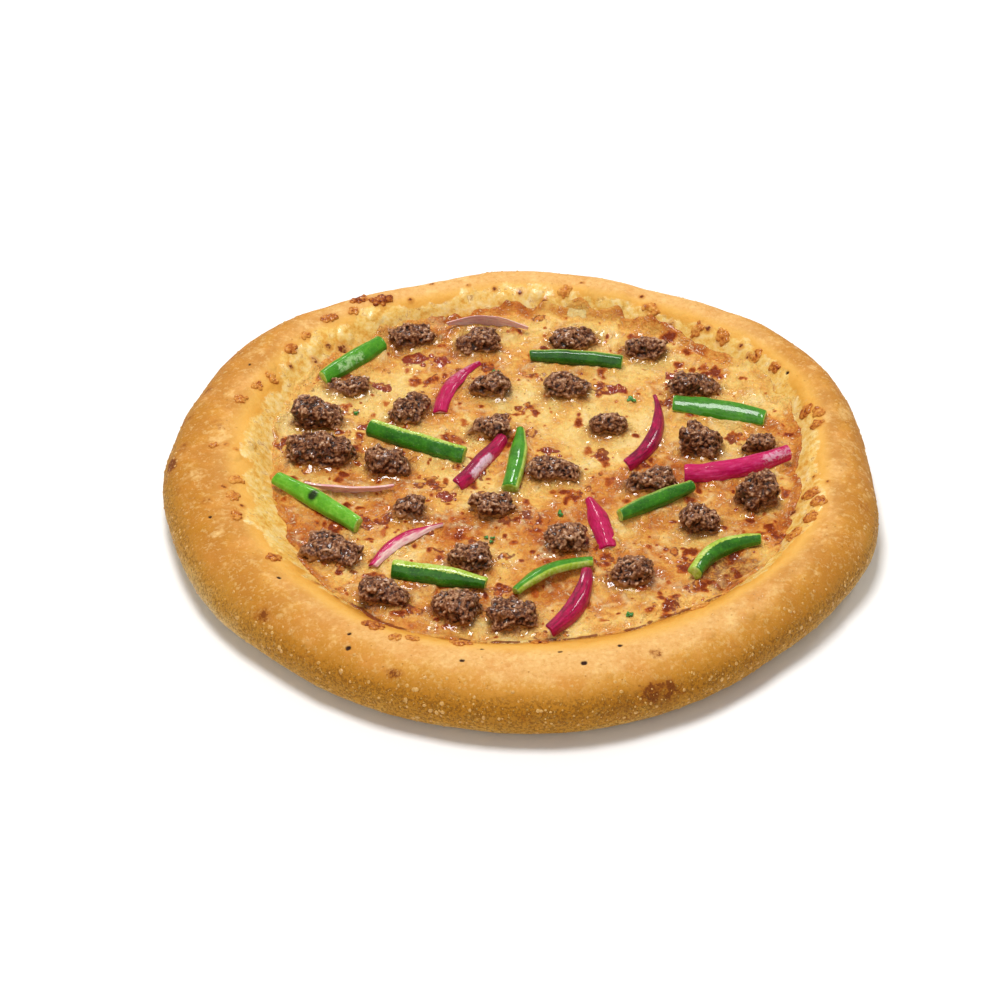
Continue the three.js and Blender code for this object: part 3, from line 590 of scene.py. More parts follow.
def draw_pepper(graph):
    skin = graph.given("skin")
    look = graph.given("look")
    flesh_show = graph.given("flesh")
    cut = graph.given("cut")
    cloud = graph.noise(4, 3)
    fine = graph.noise(0.9, 3, 0.6)
    upper = graph.given("upper")
    lengthwise = graph.node("ShaderNodeCombineXYZ", None, {
        0: graph.given("side") * 0.003, 1: graph.given("along") * 0.0004, 2: look * 0.05})
    streak = graph.noise(1.0, 3, 0.6, at=lengthwise)
    bright = look + (cloud - 0.5) * 0.5 + (fine - 0.5) * 0.25 + (streak - 0.5) * 0.3
    green = graph.ramp(bright, [
        (0.1, paint("0f3a08")), (0.35, paint("255f10")), (0.6, paint("418a14")), (0.85, paint("63ac20")),
        (1.0, paint("86c23c")),
    ])
    flesh = graph.ramp(cloud * 0.5 + fine * 0.6, [
        (0.3, paint("7c9c12")), (0.5, paint("a5c036")), (0.75, paint("d5df8c")),
    ])
    cut_side = 1 - (skin + (fine - 0.5) * 0.2 - flesh_show * 0.3).between(0.42, 0.6)
    top = graph.given("top")
    band = (upper + (fine - 0.5) * 0.5 + (top - 1) * 0.45).between(0.2, 0.5) * top
    shown = (cut_side + cut.between(0.3, 0.8) * 0.8 + band.between(0.0, 0.4)).between(0, 1)
    colour = graph.mix(green, flesh, shown)
    groove = (skin.between(0.0, 0.06) * (1 - skin.between(0.1, 0.4)))
    colour = graph.mix(colour, paint("3f6a0a"), groove * 0.4 * fine)
    scorch = graph.given("scorch")
    colour = graph.mix(colour, paint("151d05"), (scorch * (fine + 0.5)).between(0.25, 0.75) * 0.95)
    dots = 1 - graph.cells(0.9).between(0.1, 0.24)
    colour = graph.mix(colour, paint("a5cf62"), dots * skin * 0.22)
    wet = graph.given("wet")
    shine_mottle = graph.noise(2.0, 4, 0.65, 1.2)
    # The pale mottled mix in the shine patch is a painted highlight; the lower roughness and the bumps there
    # are real gloss.
    colour = graph.mix(colour, paint("c4e2a6"), (shine_mottle + wet * 0.3).between(0.6, 0.84) * wet * 0.7)
    rough = 0.3 + (1 - skin) * 0.2 + cloud * 0.14 - wet * 0.12
    relief = fine * 0.6 + cloud * 0.8 + streak * 0.5 + shine_mottle * wet * 1.8 + dots * 0.2
    return {"Base Color": colour, "Roughness": rough, "relief": relief, "depth": 0.34}


def draw_onion(graph):
    skin = graph.given("skin")
    look = graph.given("look")
    inner = graph.given("flesh")
    side = graph.given("side")
    along = graph.given("along")
    lines = graph.node("ShaderNodeCombineXYZ", None, {0: side * 0.0042, 1: along * 0.00022, 2: look * 0.05})
    streak = graph.noise(1.0, 3, 0.6, at=lines)
    cloud = graph.noise(5, 3)
    fine = graph.noise(1.1, 3, 0.6)
    upper = graph.given("upper")
    top = graph.given("top")
    deep = look + (streak - 0.5) * 0.9 + (cloud - 0.5) * 0.35 + upper * top * 0.3
    purple = graph.ramp(deep, [
        (0.0, paint("e8a4b4")), (0.25, paint("de5a90")), (0.5, paint("c81860")), (0.75, paint("b00046")),
        (1.0, paint("74022e")),
    ])
    pale = graph.ramp(streak * 0.8 + cloud * 0.3, [
        (0.3, paint("cc7488")), (0.5, paint("e6b0ae")), (0.75, paint("f4dccc")),
    ])
    cut_side = 1 - (skin + (streak - 0.5) * 0.3).between(0.3, 0.55)
    bare = (inner * 0.9 - upper * top * 0.7 + (streak - 0.5) * 0.7).between(0.5, 0.8)
    colour = graph.mix(purple, pale, (cut_side + bare).between(0, 1))
    lip = (side * side).between(0.8, 1.0)
    colour = graph.mix(colour, paint("eec4c4"), lip * 0.5 * (streak * 1.6 - 0.2).between(0.2, 0.8))
    wet = graph.given("wet")
    shine_mottle = graph.noise(2.0, 4, 0.65, 1.2)
    # The pale mottled mix in the shine patch is a painted highlight; the lower roughness and the bumps there
    # are real gloss.
    colour = graph.mix(colour, paint("ecc8d8"), (shine_mottle + wet * 0.3).between(0.58, 0.82) * wet * 0.85)
    rough = 0.28 + cloud * 0.2 - wet * 0.12
    relief = streak * 0.9 + fine * 0.5 + shine_mottle * wet * 1.8
    return {"Base Color": colour, "Roughness": rough, "relief": relief, "depth": 0.34}


def draw_herb(graph):
    fine = graph.noise(0.8, 3)
    colour = graph.ramp(fine, [(0.3, paint("1f5a12")), (0.6, paint("3f8f28")), (0.8, paint("79b04a"))])
    return {"Base Color": colour, "Roughness": 0.4 + fine * 0.2, "relief": fine, "depth": 0.25}


def draw_bead(graph):
    cloud = graph.noise(2.0, 2)
    colour = graph.ramp(cloud, [(0.35, paint("c87a2c")), (0.5, paint("a8440f")), (0.7, paint("7a1c06"))])
    return {"Base Color": colour, "Roughness": 0.1 + cloud * 0.12, "relief": cloud, "depth": 0.12}


def draw_bubble(graph):
    cloud = graph.noise(6, 3)
    fine = graph.noise(0.8, 3)
    colour = graph.ramp(cloud * 0.6 + fine * 0.5, [
        (0.3, paint("bb8232")), (0.55, paint("d09a48")), (0.8, paint("e4b868")),
    ])
    return {"Base Color": colour, "Roughness": 0.34 + fine * 0.2, "relief": fine, "depth": 0.15}


def draw_floor(graph):
    cloud = graph.noise(300, 2)
    colour = graph.mix(paint("f7f7f6"), paint("fcfcfc"), cloud)
    return {"Base Color": colour, "Roughness": 0.9 + cloud * 0.05, "relief": cloud, "depth": 0.01}


DOUGH = finish("baked dough", draw_dough, Subsurface_Weight=0.06, Subsurface_Radius=(1.0, 0.5, 0.2),
               Subsurface_Scale=0.0018, Specular_IOR_Level=0.12, Coat_Roughness=0.12)
CHEESE = finish("melted cheese", draw_cheese, Subsurface_Weight=0.15, Subsurface_Radius=(1.0, 0.5, 0.18),
                Subsurface_Scale=0.0018, Coat_Roughness=0.05, Specular_IOR_Level=0.16)
BEEF = finish("cooked beef", draw_beef, Coat_Roughness=0.1, Specular_IOR_Level=0.1)
BROWNED = finish("browned cheese", draw_knobs, Coat_Weight=0.3, Coat_Roughness=0.1, Specular_IOR_Level=0.1)
PEPPER_FINISH = finish("green pepper", draw_pepper, Subsurface_Weight=0.1, Subsurface_Radius=(0.5, 1.0, 0.2),
                       Subsurface_Scale=0.001, Coat_Weight=0.5, Coat_Roughness=0.08,
                       Specular_IOR_Level=0.15)
ONION_FINISH = finish("red onion", draw_onion, Subsurface_Weight=0.18, Subsurface_Radius=(1.0, 0.4, 0.5),
                      Subsurface_Scale=0.001, Coat_Weight=0.35, Coat_Roughness=0.06,
                      Specular_IOR_Level=0.15)
HERB_FINISH = finish("chopped herb", draw_herb, Coat_Weight=0.3, Coat_Roughness=0.2)
BEAD = finish("oil bead", draw_bead, Coat_Weight=1.0, Coat_Roughness=0.04, Subsurface_Weight=0.2,
              Subsurface_Radius=(1.0, 0.4, 0.1), Subsurface_Scale=0.0015)
BUBBLE = finish("dough bubble", draw_bubble, Coat_Weight=0.4, Coat_Roughness=0.15)
FLOOR = finish("pale floor", draw_floor)


# ---------------------------------------------------------------- making pieces

def new_object(name, points, faces, material, values=None):
    """A smooth mesh from points in millimetres about the middle of the rings."""
    mesh = bpy.data.meshes.new(name)
    mesh.from_pydata(((points + MIDDLE) * MM).tolist(), [], faces.tolist() if len(faces) else [])
    for key, numbers in (values or {}).items():
        layer = mesh.attributes.new(key, "FLOAT", "POINT")
        layer.data.foreach_set("value", np.ascontiguousarray(numbers, np.float32).ravel())
    mesh.materials.append(material)
    mesh.shade_smooth()
    mesh.update()
    made = bpy.data.objects.new(name, mesh)
    bpy.context.scene.collection.objects.link(made)
    return made


def dressed(piece, slot, *nodes):
    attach(piece, "root")
    if nodes:
        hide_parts(*nodes)
    return piece


def settled(pieces, material):
    """Turns what the pieces' modifiers make into their own plain meshes."""
    bpy.context.view_layer.update()
    depsgraph = bpy.context.evaluated_depsgraph_get()
    made = [bpy.data.meshes.new_from_object(piece.evaluated_get(depsgraph)) for piece in pieces]
    for piece, mesh in zip(pieces, made):
        piece.modifiers.clear()
        piece.data = mesh
        mesh.materials.clear()
        mesh.materials.append(material)


def surface_rule(name, sizes, build):
    """A Geometry Nodes tree with named inputs for its sizes."""
    tree = bpy.data.node_groups.new(name, "GeometryNodeTree")
    tree.interface.new_socket("Geometry", in_out="INPUT", socket_type="NodeSocketGeometry")
    for size in sizes:
        kind = "NodeSocketInt" if size == "Seed" else "NodeSocketFloat"
        tree.interface.new_socket(size, in_out="INPUT", socket_type=kind)
    tree.interface.new_socket("Geometry", in_out="OUTPUT", socket_type="NodeSocketGeometry")
    graph = Graph(tree)
    start = graph.add("NodeGroupInput")
    given = {socket.name: Value(graph, socket) for socket in start.outputs if socket.name}
    made = build(graph, given)
    graph.add("NodeGroupOutput", None, {0: made})
    return tree


def follow(piece, tree, **sizes):
    modifier = piece.modifiers.new(tree.name, "NODES")
    modifier.node_group = tree
    for item in tree.interface.items_tree:
        if item.in_out == "INPUT" and item.name in sizes:
            modifier[item.identifier] = sizes[item.name]


def finished(graph, geometry, material):
    smoothed = graph.node("GeometryNodeSetShadeSmooth", None, {"Geometry": geometry})
    return graph.node("GeometryNodeSetMaterial", None, {"Geometry": smoothed, "Material": material})


def random_vector(graph, low, high, seed):
    return graph.node("FunctionNodeRandomValue", {"data_type": "FLOAT_VECTOR"},
                      {0: low, 1: high, "Seed": seed})


def random_number(graph, low, high, seed):
    return graph.node("FunctionNodeRandomValue", {"data_type": "FLOAT"},
                      {2: low, 3: high, "Seed": seed}, output=1)


def scaled(graph, vector, number):
    return graph.node("ShaderNodeVectorMath", {"operation": "SCALE"}, {0: vector, 3: number})


def build_grains(graph, given):
    """Grains pressed into a lump's surface, joined with the lump."""
    spread = graph.add("GeometryNodeDistributePointsOnFaces", {"distribute_method": "RANDOM"},
                       {"Mesh": given["Geometry"], "Density": given["Density"], "Seed": given["Seed"]})
    ball = graph.node("GeometryNodeMeshIcoSphere", None, {"Radius": 1.0, "Subdivisions": 2})
    size = random_number(graph, given["Smallest"], given["Largest"], given["Seed"] + 3)
    shape = scaled(graph, random_vector(graph, (0.7, 0.7, 0.7), (1.3, 1.2, 1.1), given["Seed"] + 5), size)
    turn = random_vector(graph, (0, 0, 0), (TURN, TURN, TURN), given["Seed"] + 7)
    placed = graph.node("GeometryNodeInstanceOnPoints", None, {
        "Points": Value(graph, spread.outputs[0]), "Instance": ball, "Rotation": turn, "Scale": shape})
    loose = graph.node("GeometryNodeRealizeInstances", None, {0: placed})
    joined = graph.node("GeometryNodeJoinGeometry", None, {0: [given["Geometry"], loose]})
    return finished(graph, joined, BEEF)


def build_crags(graph, given):
    """Pushes a surface in and out into crags and crumbs."""
    normal = graph.node("GeometryNodeInputNormal")
    spot = graph.node("GeometryNodeInputPosition")
    large = graph.node("ShaderNodeTexNoise", None, {
        "Vector": spot, "Scale": given["Crag scale"], "Detail": 2.0, "Roughness": 0.5})
    small = graph.node("ShaderNodeTexNoise", None, {
        "Vector": spot, "Scale": given["Crumb scale"], "Detail": 2.0, "Roughness": 0.6})
    push = (large - 0.5) * given["Crag depth"] + (small - 0.5) * given["Crumb depth"]
    moved = graph.node("GeometryNodeSetPosition", None, {
        "Geometry": given["Geometry"], "Offset": scaled(graph, normal, push)})
    return graph.node("GeometryNodeSetShadeSmooth", None, {"Geometry": moved})


def build_knobs(material):
    def build(graph, given):
        """A rounded knob at each given point, as large as the point says."""
        size = graph.node("GeometryNodeInputNamedAttribute", {"data_type": "FLOAT"}, {"Name": "size"})
        ball = graph.node("GeometryNodeMeshIcoSphere", None, {"Radius": 1.0, "Subdivisions": 2})
        squash = graph.node("ShaderNodeCombineXYZ", None, {0: 1.0, 1: 1.0, 2: given["Flatness"]})
        wide = graph.node("ShaderNodeVectorMath", {"operation": "MULTIPLY"}, {
            0: squash, 1: random_vector(graph, (0.8, 0.8, 0.8), (1.2, 1.2, 1.1), given["Seed"])})
        tilt = graph.node("FunctionNodeAlignRotationToVector", {"axis": "Z"}, {
            "Vector": graph.node("GeometryNodeInputNamedAttribute", {"data_type": "FLOAT_VECTOR"},
                                 {"Name": "lean"})})
        placed = graph.node("GeometryNodeInstanceOnPoints", None, {
            "Points": given["Geometry"], "Instance": ball, "Rotation": tilt,
            "Scale": scaled(graph, wide, size)})
        loose = graph.node("GeometryNodeRealizeInstances", None, {0: placed})
        return finished(graph, loose, material)
    return build


GRAINS = surface_rule("grains of beef", ["Density", "Smallest", "Largest", "Seed"], build_grains)
CRAGS = surface_rule("crags", ["Crag scale", "Crag depth", "Crumb scale", "Crumb depth"], build_crags)
BROWNED_KNOBS = surface_rule("browned knobs", ["Flatness", "Seed"], build_knobs(BROWNED))
OIL_KNOBS = surface_rule("oil beads", ["Flatness", "Seed"], build_knobs(BEAD))
DOUGH_KNOBS = surface_rule("dough bubbles", ["Flatness", "Seed"], build_knobs(BUBBLE))


def remeshed(piece, voxel):
    modifier = piece.modifiers.new("closed skin", "REMESH")
    modifier.mode = "VOXEL"
    modifier.voxel_size = voxel * MM
    modifier.use_smooth_shade = True


def mesh_arrays(mesh):
    spots = np.empty(len(mesh.vertices) * 3)
    mesh.vertices.foreach_get("co", spots)
    normals = np.empty(len(mesh.vertices) * 3)
    mesh.vertices.foreach_get("normal", normals)
    edges = np.empty(len(mesh.edges) * 2, np.int64)
    mesh.edges.foreach_get("vertices", edges)
    return spots.reshape(-1, 3) / MM - MIDDLE, normals.reshape(-1, 3), edges.reshape(-1, 2)


def neighbour_mean(field, edges):
    total = np.zeros_like(field)
    count = np.zeros(len(field))
    for near, far in ((0, 1), (1, 0)):
        np.add.at(total, edges[:, near], field[edges[:, far]])
        np.add.at(count, edges[:, near], 1)
    return total / np.maximum(count, 1).reshape(-1, *(1,) * (field.ndim - 1))


def hollows(mesh, reach):
    """0 on the crests of a surface and 1 in its hollows."""
    spots, normals, edges = mesh_arrays(mesh)
    around = spots
    for _ in range(4):
        around = neighbour_mean(around, edges)
    depth = ((around - spots) * normals).sum(axis=1)
    depth = 0.5 * (depth + neighbour_mean(depth, edges))
    return np.clip(0.5 + depth / reach, 0, 1)


def store(mesh, name, numbers):
    layer = mesh.attributes.get(name) or mesh.attributes.new(name, "FLOAT", "POINT")
    layer.data.foreach_set("value", np.ascontiguousarray(numbers, np.float32))


# ---------------------------------------------------------------- the dough

def rim_sections(tree):
    """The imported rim, section by section: from under the foot, over the crest and down below the cheese."""
    turns = np.radians(np.linspace(-90, 178, DOUGH_CASTS))
    sections = np.empty((DOUGH_AROUND, DOUGH_ACROSS, 3))
    for row in range(DOUGH_AROUND):
        angle = row / DOUGH_AROUND * TURN
        outward = Vector((math.cos(angle), math.sin(angle), 0))
        wall = tree.ray_cast(outward * 200 + Vector((0, 0, BULGE_HEIGHT)), -outward)[0]
        core = outward * (wall.to_2d().length - CORE_INSET) + Vector((0, 0, CORE_HEIGHT))
        line = []
        for turn in turns.tolist():
            way = outward * math.cos(turn) + Vector((0, 0, math.sin(turn)))
            line.append(tree.ray_cast(core, way)[0] or line[-1])
        line = np.array(line)
        walked = np.concatenate([[0], np.cumsum(np.linalg.norm(np.diff(line, axis=0), axis=1))])
        even = np.linspace(0, walked[-1], DOUGH_ACROSS)
        sections[row] = np.stack([np.interp(even, walked, line[:, axis]) for axis in range(3)], axis=1)
    return sections


def grid_normals(spots):
    along = np.roll(spots, -1, axis=0) - np.roll(spots, 1, axis=0)
    across = np.gradient(spots, axis=1)
    normal = np.cross(along, across)
    return normal / np.maximum(np.linalg.norm(normal, axis=2, keepdims=True), 1e-9)


def ring_spot(spots, degrees, radius):
    """How far each spot lies from a place on the rim: round it, and outwards."""
    angle = math.radians(degrees)
    away = spots[..., 0] * math.cos(angle) + spots[..., 1] * math.sin(angle) - radius
    along = spots[..., 1] * math.cos(angle) - spots[..., 0] * math.sin(angle)
    return along, away


def dough_surface(tree, borders):
    sections = rim_sections(tree)
    soft = softened(softened(sections, 3.2, 0, True), 3.0, 1, False)
    soft[:, 0] = sections[:, 0]
    normals = grid_normals(soft)
    upward = np.argmax(soft[..., 2], axis=1)
    stations = np.arange(DOUGH_ACROSS)
    foot = np.argmax(soft[..., 2] > 0.4, axis=1)
    radii = np.hypot(soft[..., 0], soft[..., 1])
    border_station = np.argmax((radii < borders[:, None]) & (stations[None, :] > upward[:, None]), axis=1)
    crest = softened(upward.astype(float), 10, 0, True)
    foot = softened(foot.astype(float), 6, 0, True)
    edge = softened(border_station.astype(float), 6, 0, True)
    round_ = np.clip((stations[None, :] - foot[:, None]) / (crest - foot)[:, None], 0, 1)
    inside = np.clip((stations[None, :] - crest[:, None]) / (edge - crest)[:, None], 0, 1.4)
    upper = smooth(soft[..., 2], 1.0, 4.0)
    push = 0.35 * noise(soft, 17, 3) + 0.16 * layered(soft, 6, 5) + 0.06 * noise(soft, 1.6, 9)
    push += smooth(inside, 0.25, 0.8) * (0.36 * noise(soft, 9, 15) + 0.06 * layered(soft, 4, 19, 2))
    toast = np.zeros(push.shape)
    fleck = np.zeros(push.shape)
    pit = np.zeros(push.shape)
    top = soft[..., 2] > BULGE_HEIGHT
    for degrees, radius, height, length, width, strength in TOAST:
        along, away = ring_spot(soft, degrees, radius)
        drop = soft[..., 2] - height
        reach = np.sqrt((2 * along / length) ** 2 + (away**2 + drop**2) * (2 / width) ** 2)
        toast = np.maximum(toast, strength * (1 - smooth(reach, 0.3, 1.6)))
    for degrees, radius, size in BROWN_FLECK:
        along, away = ring_spot(soft, degrees, radius)
        near = np.where(top, np.exp(-(along**2 + away**2) * (2 / size) ** 2), 0)
        fleck = np.maximum(fleck, near)
        push += 0.3 * near
    for degrees, radius, length, width, dark in BAKED_ON:
        along, away = ring_spot(soft, degrees, radius)
        near = np.where(top, np.exp(-(2 * along / (length * 1.15)) ** 2 - (2 * away / (width * 1.2)) ** 2), 0)
        fleck = np.maximum(fleck, (0.35 + 0.5 * dark) * near)
    for degrees, radius, size in AIR_BLISTER:
        along, away = ring_spot(soft, degrees, radius)
        reach = (along**2 + away**2) * (2 / size) ** 2
        push += np.where(top, 0.14 * size * np.sqrt(np.maximum(0, 1 - reach)), 0)
    for degrees, radius, size in PIT:
        along, away = ring_spot(soft, degrees, radius)
        near = np.where(top, np.exp(-(along**2 + away**2) * (2 / size) ** 2), 0)
        pit = np.maximum(pit, near)
        push -= 0.7 * near
    angle = np.degrees(np.arctan2(soft[..., 1], soft[..., 0])) % 360
    back = 1 - smooth(np.abs(angle - 85), 40, 75)
    right = 1 - smooth(np.abs(angle - 28), 22, 40)
    oily = smooth(inside, 0.45, 0.85) * np.maximum(back, right) * smooth(noise(soft, 12, 23), -0.6, 0.3)
    front = smooth(angle, 218, 236) * (1 - smooth(angle, 306, 328))
    reach = 0.2 + 0.45 * front + 0.3 * noise(soft, 11, 25) + 0.12 * noise(soft, 4, 33)
    stain = smooth(inside, reach, reach + 0.6) * (1 - 0.75 * front)
    push += stain * (0.07 * noise(soft, 3.2, 27) + 0.03 * noise(soft, 1.5, 29))
    left = 1 - smooth(np.abs(angle - 180), 30, 70)
    far_right = 1 - smooth(np.minimum(angle, 360 - angle), 25, 60)
    flank = np.maximum(left, far_right)
    gloss = 0.6 * np.exp(-((np.abs(angle - 311) / 11) ** 2))
    gloss = gloss * smooth(round_, 0.7, 0.9) * (1 - smooth(inside, 0.3, 0.7))
    gloss *= smooth(noise(soft, 3, 31), -0.2, 0.4)
    spots = soft + normals * (push * upper)[..., None]
    values = {
        "round": round_, "inside": inside, "toast": toast, "fleck": fleck, "pit": pit, "oily": oily,
        "stain": stain, "gloss": gloss, "flank": flank,
    }
    return spots, values


def grid_faces(rows, columns):
    """Four-cornered faces of a grid that closes on itself round its rows, facing out."""
    row, column = np.meshgrid(np.arange(rows), np.arange(columns - 1), indexing="ij")
    after = (row + 1) % rows
    here, there = row * columns + column, after * columns + column
    return np.stack([here, there, there + 1, here + 1], axis=-1).reshape(-1, 4)


def fan(ring, centre, upwards):
    after = np.roll(ring, -1)
    middle = np.full(len(ring), centre)
    return np.stack([middle, ring, after] if upwards else [middle, after, ring], axis=1)


def as_triangles(quads):
    return np.concatenate([quads[:, [0, 1, 2]], quads[:, [0, 2, 3]]])


def make_dough(borders):
    _, tree = solid_tree("crust")
    spots, values = dough_surface(tree, borders)
    bed = tree.ray_cast(Vector((0, 0, 60)), DOWN)[0].z
    under = np.arange(DOUGH_ACROSS) >= DOUGH_ACROSS - 3
    for step, column in enumerate(np.flatnonzero(under)):
        spots[:, column] = spots[:, DOUGH_ACROSS - 4] * (1 - 0.02 * (step + 1))
        spots[:, column, 2] = mixed(spots[:, DOUGH_ACROSS - 4, 2], bed, (step + 1) / 3)
    count = DOUGH_AROUND * DOUGH_ACROSS
    first = np.arange(DOUGH_AROUND) * DOUGH_ACROSS
    last = first + DOUGH_ACROSS - 1
    points = np.concatenate([spots.reshape(-1, 3), [[0, 0, 0], [0, 0, bed]]])
    faces = np.concatenate([
        as_triangles(grid_faces(DOUGH_AROUND, DOUGH_ACROSS)),
        fan(first, count, False),
        fan(last, count + 1, True),
    ])
    flat = {key: np.concatenate([field.ravel(), [0, 0]]) for key, field in values.items()}
    flat["inside"][-1] = 1.4
    flat["round"][-1] = 1.0
    return new_object("dough", points, faces, DOUGH, flat)


# ---------------------------------------------------------------- maps of the cheese

ticks = np.arange(-MAP_HALF, MAP_HALF + MAP_PITCH / 2, MAP_PITCH)
map_x, map_y = np.meshgrid(ticks, ticks)
flat_spots = np.stack([map_x, map_y], axis=-1)


def blurred(field, reach):
    steps = reach / MAP_PITCH
    return softened(softened(field, steps, 0, False), steps, 1, False)


def read_map(field, x, y):
    column = np.clip((x + MAP_HALF) / MAP_PITCH, 0, len(ticks) - 1.001)
    row = np.clip((y + MAP_HALF) / MAP_PITCH, 0, len(ticks) - 1.001)
    left, low = column.astype(int), row.astype(int)
    across, up = column - left, row - low
    below = mixed(field[low, left], field[low, left + 1], across)
    above = mixed(field[low + 1, left], field[low + 1, left + 1], across)
    return mixed(below, above, up)


def window(x, y, reach):
    """The part of the map round a place, and how far its spots are from there."""
    def span(middle):
        low = max(0, int((middle - reach + MAP_HALF) / MAP_PITCH))
        return slice(low, max(low, int((middle + reach + MAP_HALF) / MAP_PITCH) + 2))
    part = (span(y), span(x))
    return part, map_x[part] - x, map_y[part] - y


def spread_down(field, slope, steps):
    """Lets each high spot slope away to what lies round it."""
    for _ in range(steps):
        best = field.copy()
        for row, column in ((0, 1), (0, -1), (1, 0), (-1, 0), (1, 1), (1, -1), (-1, 1), (-1, -1)):
            fall = slope * MAP_PITCH * math.hypot(row, column)
            best = np.maximum(best, np.roll(field, (row, column), (0, 1)) - fall)
        field = best
    return field


def topping_maps(kind):
    """Where toppings of a kind lie, and the height of their undersides."""
    lies = np.zeros(map_x.shape, bool)
    under = np.full(map_x.shape, np.nan)
    for name in node_names(kind):
        spots, tree = solid_tree(name)
        low, high = spots.min(axis=0), spots.max(axis=0)
        reach = max(high[0] - low[0], high[1] - low[1]) / 2 + 1
        part, dx, dy = window((low[0] + high[0]) / 2, (low[1] + high[1]) / 2, reach)
        found = heights(tree, map_x[part].ravel(), map_y[part].ravel(), -5.0, -DOWN).reshape(dx.shape)
        hit = ~np.isnan(found)
        lies[part] |= hit
        under[part] = np.where(hit, found, under[part])
    return lies, under


def border_radii(spots, angles):
    """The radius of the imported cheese's border at each angle."""
    turn = np.arctan2(spots[:, 1], spots[:, 0]) % TURN
    radius = np.hypot(spots[:, 0], spots[:, 1])
    count = 96
    sector = np.round(turn / TURN * count).astype(int) % count
    widest = np.array([radius[sector == index].max() for index in range(count)])
    places = np.arange(count + 1) / count * TURN
    return np.interp(np.asarray(angles) % TURN, places, np.append(widest, widest[0]))


def random_places(source, count, borders, share):
    angle = source.uniform(0, TURN, count)
    radius = np.sqrt(source.uniform(0, 1, count)) * share
    edge = np.interp(angle, np.arange(DOUGH_AROUND + 1) / DOUGH_AROUND * TURN, np.append(borders, borders[0]))
    return radius * edge * np.cos(angle), radius * edge * np.sin(angle)


def draw_shreds(source, borders):
    """Melted shreds of cheese, as ridges on the map."""
    ridges = np.zeros(map_x.shape)
    sway_x, sway_y = 1.3 * noise(flat_spots, 5, 81), 1.3 * noise(flat_spots, 5, 83)
    xs, ys = random_places(source, SHREDS, borders, 0.97)
    for x, y in zip(xs, ys):
        length = source.uniform(4, 10)
        width = source.uniform(0.55, 0.95)
        angle = source.uniform(0, math.pi)
        bow = source.uniform(-2, 2)
        height = source.uniform(0.25, 1)
        part, dx, dy = window(x, y, length / 2 + 3)
        dx, dy = dx + sway_x[part], dy + sway_y[part]
        along = dx * math.cos(angle) + dy * math.sin(angle)
        aside = dy * math.cos(angle) - dx * math.sin(angle) - bow * (1 - (2 * along / length) ** 2)
        ends = 1 - smooth(np.abs(along) * 2 / length, 0.5, 1.05)
        ridge = height * ends * np.exp(-(aside / width) ** 2)
        ridges[part] = np.maximum(ridges[part], ridge)
    return ridges


def draw_brown_spots(source, borders, wobble):
    """Browned blisters: dark all through, or dark round their edge only."""
    spots, rings, domes = (np.zeros(map_x.shape) for _ in range(3))
    xs, ys = random_places(source, BROWN_SPOTS, borders, 0.98)
    sizes = 0.4 + 1.9 * source.uniform(0, 1, BROWN_SPOTS) ** 3
    places = list(zip(xs, ys, sizes))
    for x, y, size in BROWN_PATCH:
        for _ in range(int(size * 2.2)):
            where = source.normal(0, size * 0.34, 2)
            places.append((x + where[0], y + where[1], source.uniform(0.5, 2.0)))
    for x, y, size in places:
        part, dx, dy = window(x, y, size * 2.4)
        if dx.size == 0:
            continue
        stretch = source.uniform(0.7, 1.4)
        reach = np.hypot(dx * stretch, dy / stretch) / size + 0.5 * wobble[part]
        depth = source.uniform(0.55, 1.1)
        if size > 0.9 and source.uniform() < 0.5:
            rings[part] = np.maximum(rings[part], depth * np.exp(-((reach - 0.85) / 0.24) ** 2))
            depth *= 0.45
        spots[part] = np.maximum(spots[part], depth * (1 - smooth(reach, 0.3, 1.7)))
        domes[part] = np.maximum(domes[part], 0.34 * size * np.sqrt(np.maximum(0, 1 - reach**2)))
    return spots, rings, domes


def sheet_height(packed, bare, lies, border_of):
    """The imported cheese's height, evened along its border and carried on smoothly under the toppings."""
    covered = ~np.isnan(packed)
    crowded = spread_down(np.where(lies, 1.0, 0.0), 0.6, 3) > 0
    weight = np.where(covered & crowded, 0.0, 1.0)
    known = np.where(covered, np.nan_to_num(packed), bare + 1.0) * weight
    turns = np.arange(480) / 480 * TURN
    shares = np.arange(300) / 240
    radius = border_of(turns)[:, None] * shares[None, :]
    x, y = radius * np.cos(turns)[:, None], radius * np.sin(turns)[:, None]
    round_weight, round_known = read_map(weight, x, y), read_map(known, x, y)
    total, left = 0.0, 1.0
    for reach in (5, 14):
        reached = softened(round_weight, reach, 0, True)
        part = left * smooth(reached, 0.03, 0.35)
        total = total + part * softened(round_known, reach, 0, True) / np.maximum(reached, 1e-6)
        left = left - part
    turn = np.arctan2(map_y, map_x) % TURN
    row = turn / TURN * 480
    column = np.clip(np.hypot(map_x, map_y) / border_of(turn) * 240, 0, 298.9)
    low, near = row.astype(int), column.astype(int)
    up, out = row - low, column - near

    def back(field):
        inner = mixed(field[low % 480, near], field[(low + 1) % 480, near], up)
        outer = mixed(field[low % 480, near + 1], field[(low + 1) % 480, near + 1], up)
        return mixed(inner, outer, out)

    wide = blurred(known, 5.5) / np.maximum(blurred(weight, 5.5), 1e-6)
    return blurred(back(total) + back(left) * wide, 0.9)


